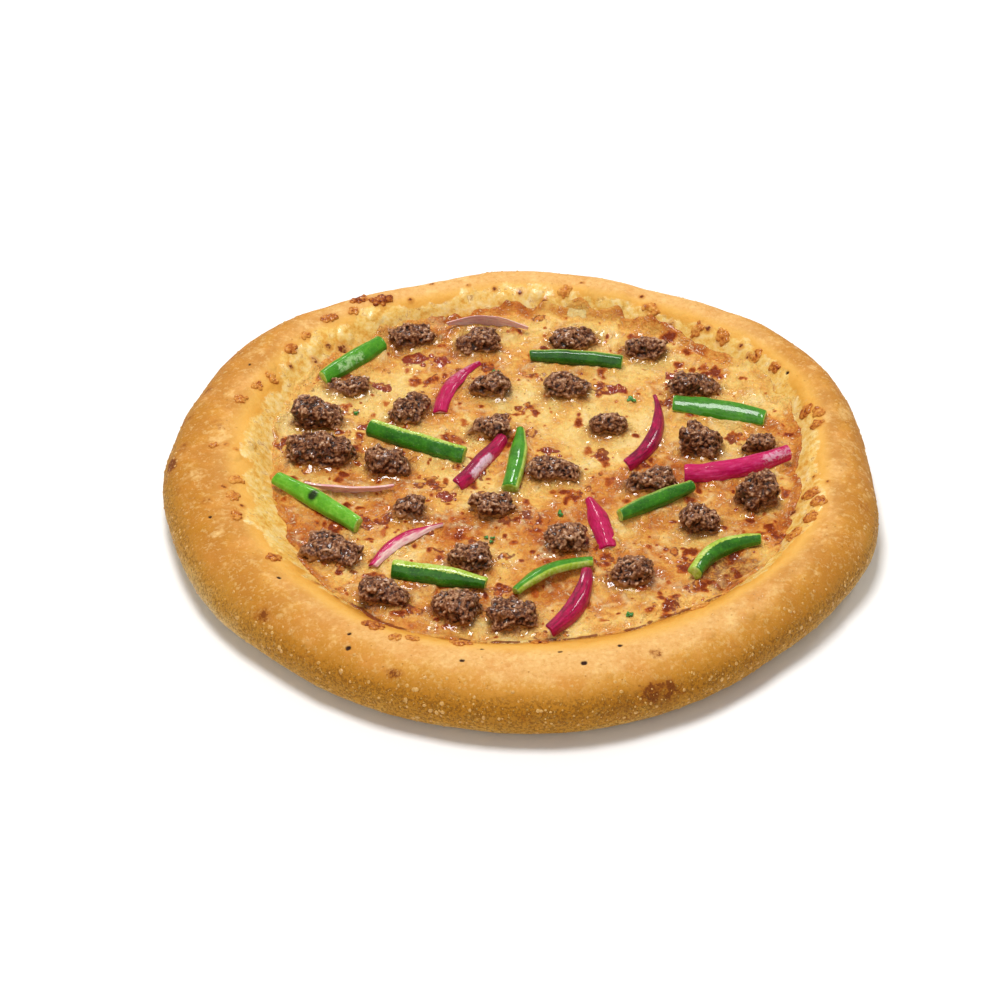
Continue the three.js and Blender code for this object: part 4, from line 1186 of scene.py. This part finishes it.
def cheese_maps(dough, borders, border_of):
    source = np.random.default_rng(31)
    _, cheese_tree = solid_tree("cheese")
    dough_spots, _, _ = mesh_arrays(dough.data)
    dough_faces = [tuple(face.vertices) for face in dough.data.polygons]
    dough_tree = BVHTree.FromPolygons(dough_spots.tolist(), dough_faces)
    packed = heights(cheese_tree, map_x.ravel(), map_y.ravel()).reshape(map_x.shape)
    bare = heights(dough_tree, map_x.ravel(), map_y.ravel()).reshape(map_x.shape)
    bare = np.where(np.isnan(bare), 0, bare)
    beef, beef_under = topping_maps("beef")
    pepper, pepper_under = topping_maps("pepper")
    onion, onion_under = topping_maps("onion")
    strip = pepper | onion
    strip_under = np.fmin(np.where(pepper, pepper_under, 99), np.where(onion, onion_under, 99))
    base = sheet_height(packed, bare, beef | strip, border_of)
    seat = beef & (np.nan_to_num(beef_under) - base < 1.3)
    touch = strip & (strip_under - base < 2.2)
    climb = np.where(seat, base + 1.0 + 0.5 * noise(flat_spots, 5, 45), -50)
    climb = np.maximum(climb, np.where(touch, strip_under + np.where(onion, -0.15, 0.1), -50))
    climb = spread_down(climb, 0.62, 8)
    near_beef = spread_down(np.where(seat, 0.0, -50.0), 1.0, 14)
    near_strip = spread_down(np.where(touch, 0.0, -50.0), 1.0, 8)
    raised = blurred(np.maximum(base, climb), 0.55)
    wobble = noise(flat_spots, 1.9, 41) + 0.5 * noise(flat_spots, 0.9, 43)
    ridges = draw_shreds(source, borders)
    brown, rings, domes = draw_brown_spots(source, borders, wobble)
    sauce = np.zeros(map_x.shape)
    blister = np.zeros(map_x.shape)
    for x, y, width, depth in SAUCE_BLISTER:
        part, dx, dy = window(x, y, width)
        reach = np.hypot(1.6 * dx / width, 1.6 * dy / depth) + 0.3 * wobble[part]
        sauce[part] = np.maximum(sauce[part], 1 - smooth(reach, 0.6, 1.25))
        blister[part] = np.maximum(blister[part], 0.5 * np.sqrt(np.maximum(0, 1 - reach**2)))
    relief = 0.36 * layered(flat_spots, 6.5, 51, 3) + 0.34 * noise(flat_spots, 2.6, 57)
    relief += 0.22 * noise(flat_spots, 1.4, 59) + 0.42 * ridges + 0.5 * domes + blister
    orange = 0.45 + 0.26 * layered(flat_spots, 19, 61, 3) + 0.1 * noise(flat_spots, 40, 63)
    orange += 0.12 * smooth(-map_y, -60, 60) - 0.06 * smooth(map_y, 20, 80)
    oil = np.exp(near_beef / 2.6) * (near_beef > -12) + 0.3 * np.exp(near_strip / 1.2) * (near_strip > -8)
    return {
        "height": raised + relief, "dough": bare, "brown": brown, "ring": rings, "orange": orange,
        "sauce": sauce, "oil": np.clip(oil, 0, 1), "shred": ridges, "top": raised,
    }


# ---------------------------------------------------------------- the cheese

def ring_disc(rings):
    """Angles, shares of the radius and triangles of a disc of rings, each with six more corners."""
    angles, shares, faces = [np.zeros(1)], [np.zeros(1)], []
    first_inner, first = 0, 1
    for index in range(1, rings + 1):
        count = 6 * index
        angles.append(np.arange(count) / count * TURN)
        shares.append(np.full(count, index / rings))
        side, step = np.meshgrid(np.arange(6), np.arange(index), indexing="ij")
        inner_count = max(1, 6 * (index - 1))
        near = first_inner + (side * (index - 1) + step) % inner_count
        far = first + side * index + step
        far_next = first + (side * index + step + 1) % count
        faces.append(np.stack([near, far, far_next], axis=-1).reshape(-1, 3))
        if index > 1:
            keep = step < index - 1
            near_next = first_inner + (side * (index - 1) + step + 1) % inner_count
            faces.append(np.stack([near, far_next, near_next], axis=-1)[keep])
        first_inner, first = first, first + count
    return np.concatenate(angles), np.concatenate(shares), np.concatenate(faces)


def make_cheese(maps, border_of):
    angles, shares, faces = ring_disc(CHEESE_RINGS)
    circle = np.stack([np.cos(angles), np.sin(angles)], axis=1)
    fingers = 0.9 + 1.5 * noise(circle * 6, 1.0, 70) + 1.3 * noise(circle * 17, 1.0, 71)
    fingers += 0.6 * noise(circle * 37, 1.0, 73) + 0.25 * noise(circle * 90, 1.0, 75)
    edge = border_of(angles) + fingers
    radius = shares * edge
    x, y = radius * circle[:, 0], radius * circle[:, 1]
    depth = edge - radius
    top = read_map(maps["height"], x, y)
    dough = read_map(maps["dough"], x, y)
    thickness = 1.15 * np.sqrt(np.clip(1 - (1 - np.clip(depth / 2.4, 0, 1)) ** 2, 0, 1))
    rough = top - read_map(maps["top"], x, y)
    laid = dough + thickness * (1 + 0.5 * rough) - 0.12
    z = mixed(laid, top, smooth(depth, 2.0, 6.5))
    degrees = np.degrees(angles)
    front = smooth(degrees, 218, 232) * (1 - smooth(degrees, 312, 326))
    broken = smooth(noise(circle * 30, 1.0, 77), -0.8, 0.2)
    crisp = front * broken * (1 - smooth(depth, 1.0, 3.2)) * smooth(depth, -0.1, 0.4)
    corner = (1 - smooth(np.hypot(x - 72, y + 52), 9, 17)) * smooth(depth, 1, 3)
    values = {key: read_map(maps[key], x, y) for key in ("brown", "ring", "orange", "sauce", "oil", "shred")}
    values["crisp"] = np.maximum(crisp, 0.55 * corner)
    values["fringe"] = (1 - front) * (1 - smooth(depth, 0.3, 6.0))
    top_count = len(x)
    rim = np.arange(top_count - 6 * CHEESE_RINGS, top_count)
    lower = np.arange(len(rim)) + top_count
    inner = lower + len(rim)
    under = read_map(maps["dough"], np.zeros(1), np.zeros(1))[0] + 0.1
    sunk = np.stack([x[rim] * 0.995, y[rim] * 0.995, dough[rim] - 1.2], axis=1)
    floor = np.stack([x[rim] * 0.9, y[rim] * 0.9, np.full(len(rim), under)], axis=1)
    points = np.concatenate([np.stack([x, y, z], axis=1), sunk, floor, [[0, 0, under]]])
    skirt = np.stack([lower, np.roll(lower, -1), np.roll(rim, -1), rim], axis=1)
    slope = np.stack([inner, np.roll(inner, -1), np.roll(lower, -1), lower], axis=1)
    bottom = fan(inner, len(points) - 1, False)
    faces = np.concatenate([faces, as_triangles(skirt), as_triangles(slope), bottom])
    extra = len(points) - top_count
    values = {key: np.concatenate([field, np.zeros(extra)]) for key, field in values.items()}
    return new_object("melted_cheese", points, faces, CHEESE, values)


# ---------------------------------------------------------------- the toppings

def fine_section(section, parts, rounds):
    """A section's corners drawn finer and rounded, with how much of each spot is skin."""
    corners = np.array(section)
    skin = np.array([0.5, 1, 1, 1, 0.5, 0, 0, 0])
    line, cover = [], []
    for index in range(len(corners)):
        after = (index + 1) % len(corners)
        for part in range(parts):
            line.append(mixed(corners[index], corners[after], part / parts))
            cover.append(mixed(skin[index], skin[after], part / parts))
    line, cover = np.array(line), np.array(cover)
    for _ in range(rounds):
        line = 0.5 * line + 0.25 * (np.roll(line, 1, axis=0) + np.roll(line, -1, axis=0))
        cover = 0.5 * cover + 0.25 * (np.roll(cover, 1) + np.roll(cover, -1))
    return line, cover


def make_strip(name, strip, section, maps, material, slot, look, seed, plump):
    (at_x, at_y), length, heading, bow, width, thick, lean, ends = strip
    angle, lean = math.radians(heading), math.radians(lean)
    source = np.random.default_rng(seed)
    line, cover = fine_section(section, 4, 1)
    count = len(line)
    bevel = 0.9 / length
    inner = np.linspace(bevel, 1 - bevel, STRIP_STEPS - 7)
    shares = np.concatenate([[0, 0, 0, bevel * 0.35], inner, [1 - bevel * 0.35, 1, 1, 1]])
    grow = np.concatenate([[0.02, 0.5, 0.84, 0.95], np.ones(len(inner)), [0.95, 0.84, 0.5, 0.02]])
    cut = np.concatenate([[1, 1, 0.9, 0.2], np.zeros(len(inner)), [0.2, 0.9, 1, 1]])
    run = (shares - 0.5) * length
    aside = bow * (1 - (2 * shares - 1) ** 2)
    sway = np.stack([shares * length, np.full(len(shares), seed * 9.0)], axis=1)
    aside = aside + 0.25 * noise(sway, 9, seed)
    flow = np.array([math.cos(angle), math.sin(angle), 0])
    left = np.array([-math.sin(angle), math.cos(angle), 0])
    middle = np.array([at_x, at_y, 0]) + run[:, None] * flow + aside[:, None] * left
    stations = [np.argmin(np.abs(shares - share)) for share in (0.1, 0.5, 0.9)]
    levels = [read_map(maps["top"], *middle[station][:2, None])[0] for station in stations]
    sag = levels[1] - (levels[0] + levels[2]) / 2
    middle[:, 2] = mixed(levels[0], levels[2], shares) + sag * (1 - (2 * shares - 1) ** 2)
    middle[:, 2] += 0.15 * noise(sway + 50, 7, seed)
    slope = -4 * bow * (2 * shares - 1) / length
    along = flow + slope[:, None] * left
    along[:, 2] = (levels[2] - levels[0] - 4 * sag * (2 * shares - 1)) / length
    along /= np.linalg.norm(along, axis=1, keepdims=True)
    side = np.cross(along, [0, 0, 1])
    side /= np.linalg.norm(side, axis=1, keepdims=True)
    side *= -1 if math.cos(angle) < 0 else 1
    tilt = lean + np.radians(4) * noise(sway + 90, 12, seed)
    out = np.array([0, 0, 1]) * np.cos(tilt)[:, None] + side * np.sin(tilt)[:, None]
    out -= along * (out * along).sum(axis=1, keepdims=True)
    out /= np.linalg.norm(out, axis=1, keepdims=True)
    across = np.cross(out, along)
    taper = mixed(ends[0], 1, smooth(shares, 0, TAPER_SHARE))
    taper = mixed(taper, ends[1], smooth(shares, 1 - TAPER_SHARE, 1))
    wide = width * taper * grow * (1 + 0.05 * noise(sway + 20, 5, seed))
    deep = thick * mixed(taper, 1, 0.5) * grow * (1 + 0.06 * noise(sway + 70, 4, seed))
    skew = source.uniform(-0.9, 0.9, 2)
    lengthwise = mixed(skew[0], 0, smooth(shares, 0, 0.2)) + mixed(0, skew[1], smooth(shares, 0.8, 1))
    points = (
        middle[:, None, :]
        + across[:, None, :] * (line[None, :, 0] * wide[:, None])[..., None]
        + out[:, None, :] * (line[None, :, 1] * deep[:, None])[..., None]
        + along[:, None, :] * (line[None, :, 0] * (lengthwise * grow)[:, None])[..., None]
    )
    ripple = plump * (0.6 * noise(points, 3.4, seed + 1) + 0.3 * noise(points, 1.4, seed + 2))
    body = points - middle[:, None, :]
    reach = np.maximum(np.linalg.norm(body, axis=2, keepdims=True), 1e-6)
    points = points + body / reach * (ripple * grow[:, None] ** 2)[..., None]
    low, high = (np.array(corner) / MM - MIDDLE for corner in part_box(name))
    points[..., 2] += (low[2] + high[2]) / 2 - (points[..., 2].min() + points[..., 2].max()) / 2
    rows = len(shares)
    ring, step = np.meshgrid(np.arange(rows - 1), np.arange(count), indexing="ij")
    after = (step + 1) % count
    near, far = ring * count, (ring + 1) * count
    faces = np.stack([near + step, near + after, far + after, far + step], axis=-1)
    faces = as_triangles(faces.reshape(-1, 4))
    spots = points.reshape(-1, 3)
    ends_at = [spots[:count].mean(axis=0), spots[-count:].mean(axis=0)]
    faces = np.concatenate([faces, fan(np.arange(count), len(spots), False),
                            fan(np.arange(count) + (rows - 1) * count, len(spots) + 1, True)])
    spots = np.concatenate([spots, ends_at])
    whole = np.ones((rows, count))
    values = {
        "skin": whole * cover[None, :], "side": whole * line[None, :, 0] * 2, "along": whole * run[:, None],
        "cut": whole * cut[:, None], "look": whole * look[0], "flesh": whole * look[1],
        "top": whole * look[2], "scorch": whole * 0.0,
    }
    values["upper"] = values["side"] * (1 if math.cos(angle) > 0 else -1)
    # The wet patch of each strip, which also carries its painted highlight.
    spot, reach, edge, strength = WET_AND_PAINTED_SHINE.get(name, (0.5, 0.5, 0.0, 0.08))
    patch = 1 - smooth(np.abs(shares[:, None] - spot), reach * 0.7, reach * 1.15)
    patch = patch * (1 - smooth(np.abs(values["upper"] - edge), 0.35, 0.8))
    values["wet"] = np.maximum(0.08, strength * patch) * values["skin"]
    if name == "pepper_06":
        run_off = (shares[:, None] - 0.45) * length / 2.2
        side_off = (line[None, :, 0] - 0.1) * width / 2.4
        values["scorch"] = np.exp(-run_off**2 - side_off**2) * (line[None, :, 1] > 0)
    flat = {}
    for key, field in values.items():
        flat[key] = np.concatenate([field.ravel(), [field[0, 0], field[-1, 0]]])
    called = name.replace("pepper", "pepper_strip").replace("onion", "onion_strip")
    return dressed(new_object(called, spots, faces, material, flat), slot, name)


def merged_mesh(node, material):
    shape = bmesh.new()
    shape.from_mesh(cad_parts[node].data)
    bmesh.ops.remove_doubles(shape, verts=shape.verts, dist=1e-6)
    mesh = bpy.data.meshes.new(node + "_core")
    shape.to_mesh(mesh)
    shape.free()
    mesh.materials.clear()
    mesh.materials.append(material)
    return mesh


def make_beef(maps):
    pieces = []
    for index, name in enumerate(node_names("beef")):
        piece = bpy.data.objects.new(name.replace("beef", "crumble"), merged_mesh(name, BEEF))
        bpy.context.scene.collection.objects.link(piece)
        remeshed(piece, 0.7)
        follow(piece, CRAGS, **{"Crag scale": 1 / (4.2 * MM), "Crag depth": 5.2 * MM,
                                "Crumb scale": 1 / (1.9 * MM), "Crumb depth": 2.4 * MM})
        follow(piece, GRAINS, Density=0.14 / MM**2, Smallest=0.25 * MM, Largest=0.75 * MM, Seed=index + 5)
        remeshed(piece, BEEF_VOXEL)
        follow(piece, CRAGS, **{"Crag scale": 1 / (1.5 * MM), "Crag depth": 0.9 * MM,
                                "Crumb scale": 1 / (0.7 * MM), "Crumb depth": 0.5 * MM})
        pieces.append(piece)
    settled(pieces, BEEF)
    for index, (piece, name) in enumerate(zip(pieces, node_names("beef"))):
        mesh = piece.data
        spots, normals, _ = mesh_arrays(mesh)
        # hollow and up carry the painted shade in the crumbles' hollows and the painted light on their upward
        # faces.
        store(mesh, "hollow", hollows(mesh, 0.4))
        store(mesh, "up", smooth(normals[:, 2], -0.2, 0.8))
        above = spots[:, 2] - read_map(maps["top"], spots[:, 0], spots[:, 1])
        climb = SUNKEN_CLIMB if index in SUNKEN else USUAL_CLIMB
        store(mesh, "foot", 1 - smooth(above, 0.0, climb))
        dressed(piece, "beef", name)


def knob_points(name, places, material):
    """Points that knobs grow on: each has a place, a lean and a size."""
    spots = np.array([place for place, _, _ in places])
    sizes = {"size": np.array([size for _, _, size in places]) * MM}
    made = new_object(name, spots, np.empty((0, 3)), material, sizes)
    layer = made.data.attributes.new("lean", "FLOAT_VECTOR", "POINT")
    layer.data.foreach_set("vector", np.array([lean for _, lean, _ in places], np.float32).ravel())
    return made


def make_browned(tree):
    source = np.random.default_rng(7)
    places, dark_places = [], []
    for degrees, radius, length, width, dark in BAKED_ON:
        angle = math.radians(degrees)
        outward = np.array([math.cos(angle), math.sin(angle)])
        along = np.array([-outward[1], outward[0]])
        for _ in range(int(6 + length * width * 1.2)):
            where = source.normal(0, 0.5, 2)
            where = where / max(1, np.linalg.norm(where))
            x, y = outward * (radius + where[0] * width * 0.46) + along * where[1] * length * 0.48
            hit, normal, _, _ = tree.ray_cast(Vector((x, y, 60)), DOWN)
            if hit is None:
                continue
            size = source.uniform(0.5, 1.1) * (0.62 + 0.1 * min(length, width))
            lifted = np.array(hit) + np.array(normal) * size * 0.1
            places.append((lifted, np.array(normal), size))
            dark_places.append((x, y, dark))
    piece = knob_points("browned_cheese", places, BROWNED)
    follow(piece, BROWNED_KNOBS, Flatness=0.72, Seed=3)
    remeshed(piece, KNOB_VOXEL)
    follow(piece, CRAGS, **{"Crag scale": 1 / (1.8 * MM), "Crag depth": 0.5 * MM,
                            "Crumb scale": 1 / (0.8 * MM), "Crumb depth": 0.22 * MM})
    settled([piece], BROWNED)
    mesh = piece.data
    spots, _, _ = mesh_arrays(mesh)
    # hollow carries the painted shade in the knobs' hollows.
    store(mesh, "hollow", hollows(mesh, 0.5))
    known = np.array(dark_places)
    dark = np.empty(len(spots))
    for start in range(0, len(spots), 4000):
        part = spots[start:start + 4000]
        away = (part[:, None, 0] - known[None, :, 0]) ** 2 + (part[:, None, 1] - known[None, :, 1]) ** 2
        dark[start:start + 4000] = known[away.argmin(axis=1), 2]
    store(mesh, "dark", dark)
    dressed(piece, "melted_cheese", "crust")


def make_beads(tree, maps):
    """Beads of oil and sauce that stand on the cheese."""
    source = np.random.default_rng(17)
    places = []
    for x, y, width, depth in SAUCE_BLISTER:
        for _ in range(BEADS_ON_A_BLISTER):
            where = source.normal(0, 0.34, 2) * (width, depth)
            places.append((x + where[0], y + where[1], source.uniform(0.4, 1.1)))
    for x, y, size in BROWN_PATCH:
        for _ in range(BEADS_ON_A_PATCH):
            where = source.normal(0, size * 0.4, 2)
            places.append((x + where[0], y + where[1], source.uniform(0.25, 0.7)))
    points = []
    for x, y, size in places:
        hit, normal, _, _ = tree.ray_cast(Vector((x, y, 60)), DOWN)
        if hit is not None:
            points.append((np.array(hit) - np.array([0, 0, 0.15 * size]), np.array(normal), size))
    piece = knob_points("oil_beads", points, BEAD)
    follow(piece, OIL_KNOBS, Flatness=0.5, Seed=5)
    settled([piece], BEAD)
    dressed(piece, "melted_cheese", "cheese")


def make_bubbles(tree):
    """Small pale bubbles in the skin of the dough's wall."""
    source = np.random.default_rng(23)
    points = []
    for _ in range(WALL_BUBBLES):
        angle = source.uniform(0, TURN)
        height = source.uniform(2.5, 21.5)
        start = Vector((170 * math.cos(angle), 170 * math.sin(angle), height + source.uniform(0, 30)))
        aim = Vector((112 * math.cos(angle), 112 * math.sin(angle), height - 3))
        hit, normal, _, _ = tree.ray_cast(start, (aim - start).normalized())
        if hit is None or normal.z > 0.93:
            continue
        size = 0.2 + 0.7 * source.uniform(0, 1) ** 3
        points.append((np.array(hit) - np.array(normal) * size * 0.35, np.array(normal), size))
    piece = knob_points("dough_bubbles", points, BUBBLE)
    follow(piece, DOUGH_KNOBS, Flatness=0.75, Seed=9)
    settled([piece], BUBBLE)
    dressed(piece, "dough", "crust")


def make_herbs(tree):
    """Torn herb flecks: thin curled leaves a few millimetres long."""
    source = np.random.default_rng(29)
    spots, faces = [], []
    for x, y, length, heading in HERB:
        for leaf in range(LEAVES_IN_A_FLECK):
            turn = math.radians(heading + source.uniform(-70, 70))
            size = length * source.uniform(0.35, 0.6)
            where = source.normal(0, length * 0.22, 2)
            hit = tree.ray_cast(Vector((x + where[0], y + where[1], 60)), DOWN)[0]
            if hit is None:
                continue
            first = len(spots)
            steps, sides = 7, 5
            for step in range(steps):
                for side in range(sides):
                    u, v = step / (steps - 1) - 0.5, side / (sides - 1) - 0.5
                    broad = 0.62 * math.sqrt(max(0.02, 1 - (2 * u) ** 2)) * (1 + 0.3 * math.sin(9 * u + leaf))
                    a, b = u * size, v * size * broad
                    lift = 0.55 + 0.9 * v * v + 0.35 * math.sin(5 * u + leaf)
                    spots.append((hit.x + a * math.cos(turn) - b * math.sin(turn),
                                  hit.y + a * math.sin(turn) + b * math.cos(turn), hit.z + lift))
            for step in range(steps - 1):
                for side in range(sides - 1):
                    corner = first + step * sides + side
                    faces.append((corner, corner + sides, corner + sides + 1, corner + 1))
    piece = new_object("herb_flecks", np.array(spots), np.array(faces), HERB_FINISH)
    thick = piece.modifiers.new("leaf thickness", "SOLIDIFY")
    thick.thickness = 0.25 * MM
    thick.offset = -1
    settled([piece], HERB_FINISH)
    dressed(piece, "melted_cheese", "cheese")


# ---------------------------------------------------------------- the room

def make_room():
    mesh = bpy.data.meshes.new("floor")
    corners = [(-1, -1), (1, -1), (1, 1), (-1, 1)]
    mesh.from_pydata([(x * FLOOR_HALF, y * FLOOR_HALF, 0) for x, y in corners], [], [(0, 1, 2, 3)])
    mesh.materials.append(FLOOR)
    floor = bpy.data.objects.new("floor", mesh)
    bpy.context.scene.collection.objects.link(floor)
    world = bpy.data.worlds.new("studio")
    bpy.context.scene.world = world
    world.use_nodes = True
    world.node_tree.nodes["Background"].inputs[0].default_value = (1, 0.99, 0.97, 1)
    world.node_tree.nodes["Background"].inputs[1].default_value = 0.33
    for name, spot, width, power in LAMPS:
        lamp = bpy.data.lights.new(name, "AREA")
        lamp.size = width
        lamp.energy = power
        held = bpy.data.objects.new(name, lamp)
        held.location = spot
        held.rotation_euler = (Vector((0, 0, 0)) - Vector(spot)).to_track_quat("-Z", "Y").to_euler()
        bpy.context.scene.collection.objects.link(held)


LAMPS = [
    ("overhead", (-0.12, 0.05, 1.25), 0.42, 12.0),
    ("rear", (-0.25, 1.15, 0.95), 0.22, 3.5),
    ("rear right", (0.8, 0.75, 0.8), 0.18, 2.2),
    ("front fill", (-0.4, -1.35, 0.6), 1.3, 4.5),
]


def make_camera():
    forward = np.array([0, math.cos(math.radians(ELEVATION)), -math.sin(math.radians(ELEVATION))])
    eye = bpy.data.cameras.new("camera")
    eye.lens = LENS
    eye.sensor_width = 36
    held = bpy.data.objects.new("camera", eye)
    held.location = (AIM + MIDDLE - forward * DISTANCE) * MM
    held.rotation_euler = (math.radians(90 - ELEVATION), 0, 0)
    bpy.context.scene.collection.objects.link(held)
    bpy.context.scene.camera = held


# ---------------------------------------------------------------- the pizza

make_camera()
make_room()
bpy.context.scene.view_settings.view_transform = "Standard"

cheese_spots, packed_cheese = solid_tree("cheese")
dough_angles = np.arange(DOUGH_AROUND) / DOUGH_AROUND * TURN
borders = border_radii(cheese_spots, dough_angles)


def border_at(angles):
    return border_radii(cheese_spots, angles)


dough = make_dough(borders)
maps = cheese_maps(dough, borders, border_at)
cheese = make_cheese(maps, border_at)

spots, _, _ = mesh_arrays(dough.data)
dough_tree = BVHTree.FromPolygons(spots.tolist(), [tuple(face.vertices) for face in dough.data.polygons])
spots, _, _ = mesh_arrays(cheese.data)
cheese_tree = BVHTree.FromPolygons(spots.tolist(), [tuple(face.vertices) for face in cheese.data.polygons])

dressed(dough, "dough", "crust")
dressed(cheese, "melted_cheese", "cheese")
make_beef(maps)
for index, strip in enumerate(PEPPER):
    make_strip(f"pepper_{index + 1:02d}", strip, PEPPER_SECTION, maps, PEPPER_FINISH, "green_pepper",
               PEPPER_LOOK[index], index + 101, 0.16)
for index, strip in enumerate(ONION):
    make_strip(f"onion_{index + 1:02d}", strip, ONION_SECTION, maps, ONION_FINISH, "red_onion",
               ONION_LOOK[index], index + 201, 0.07)
make_browned(dough_tree)
make_bubbles(dough_tree)
make_beads(cheese_tree, maps)
make_herbs(cheese_tree)
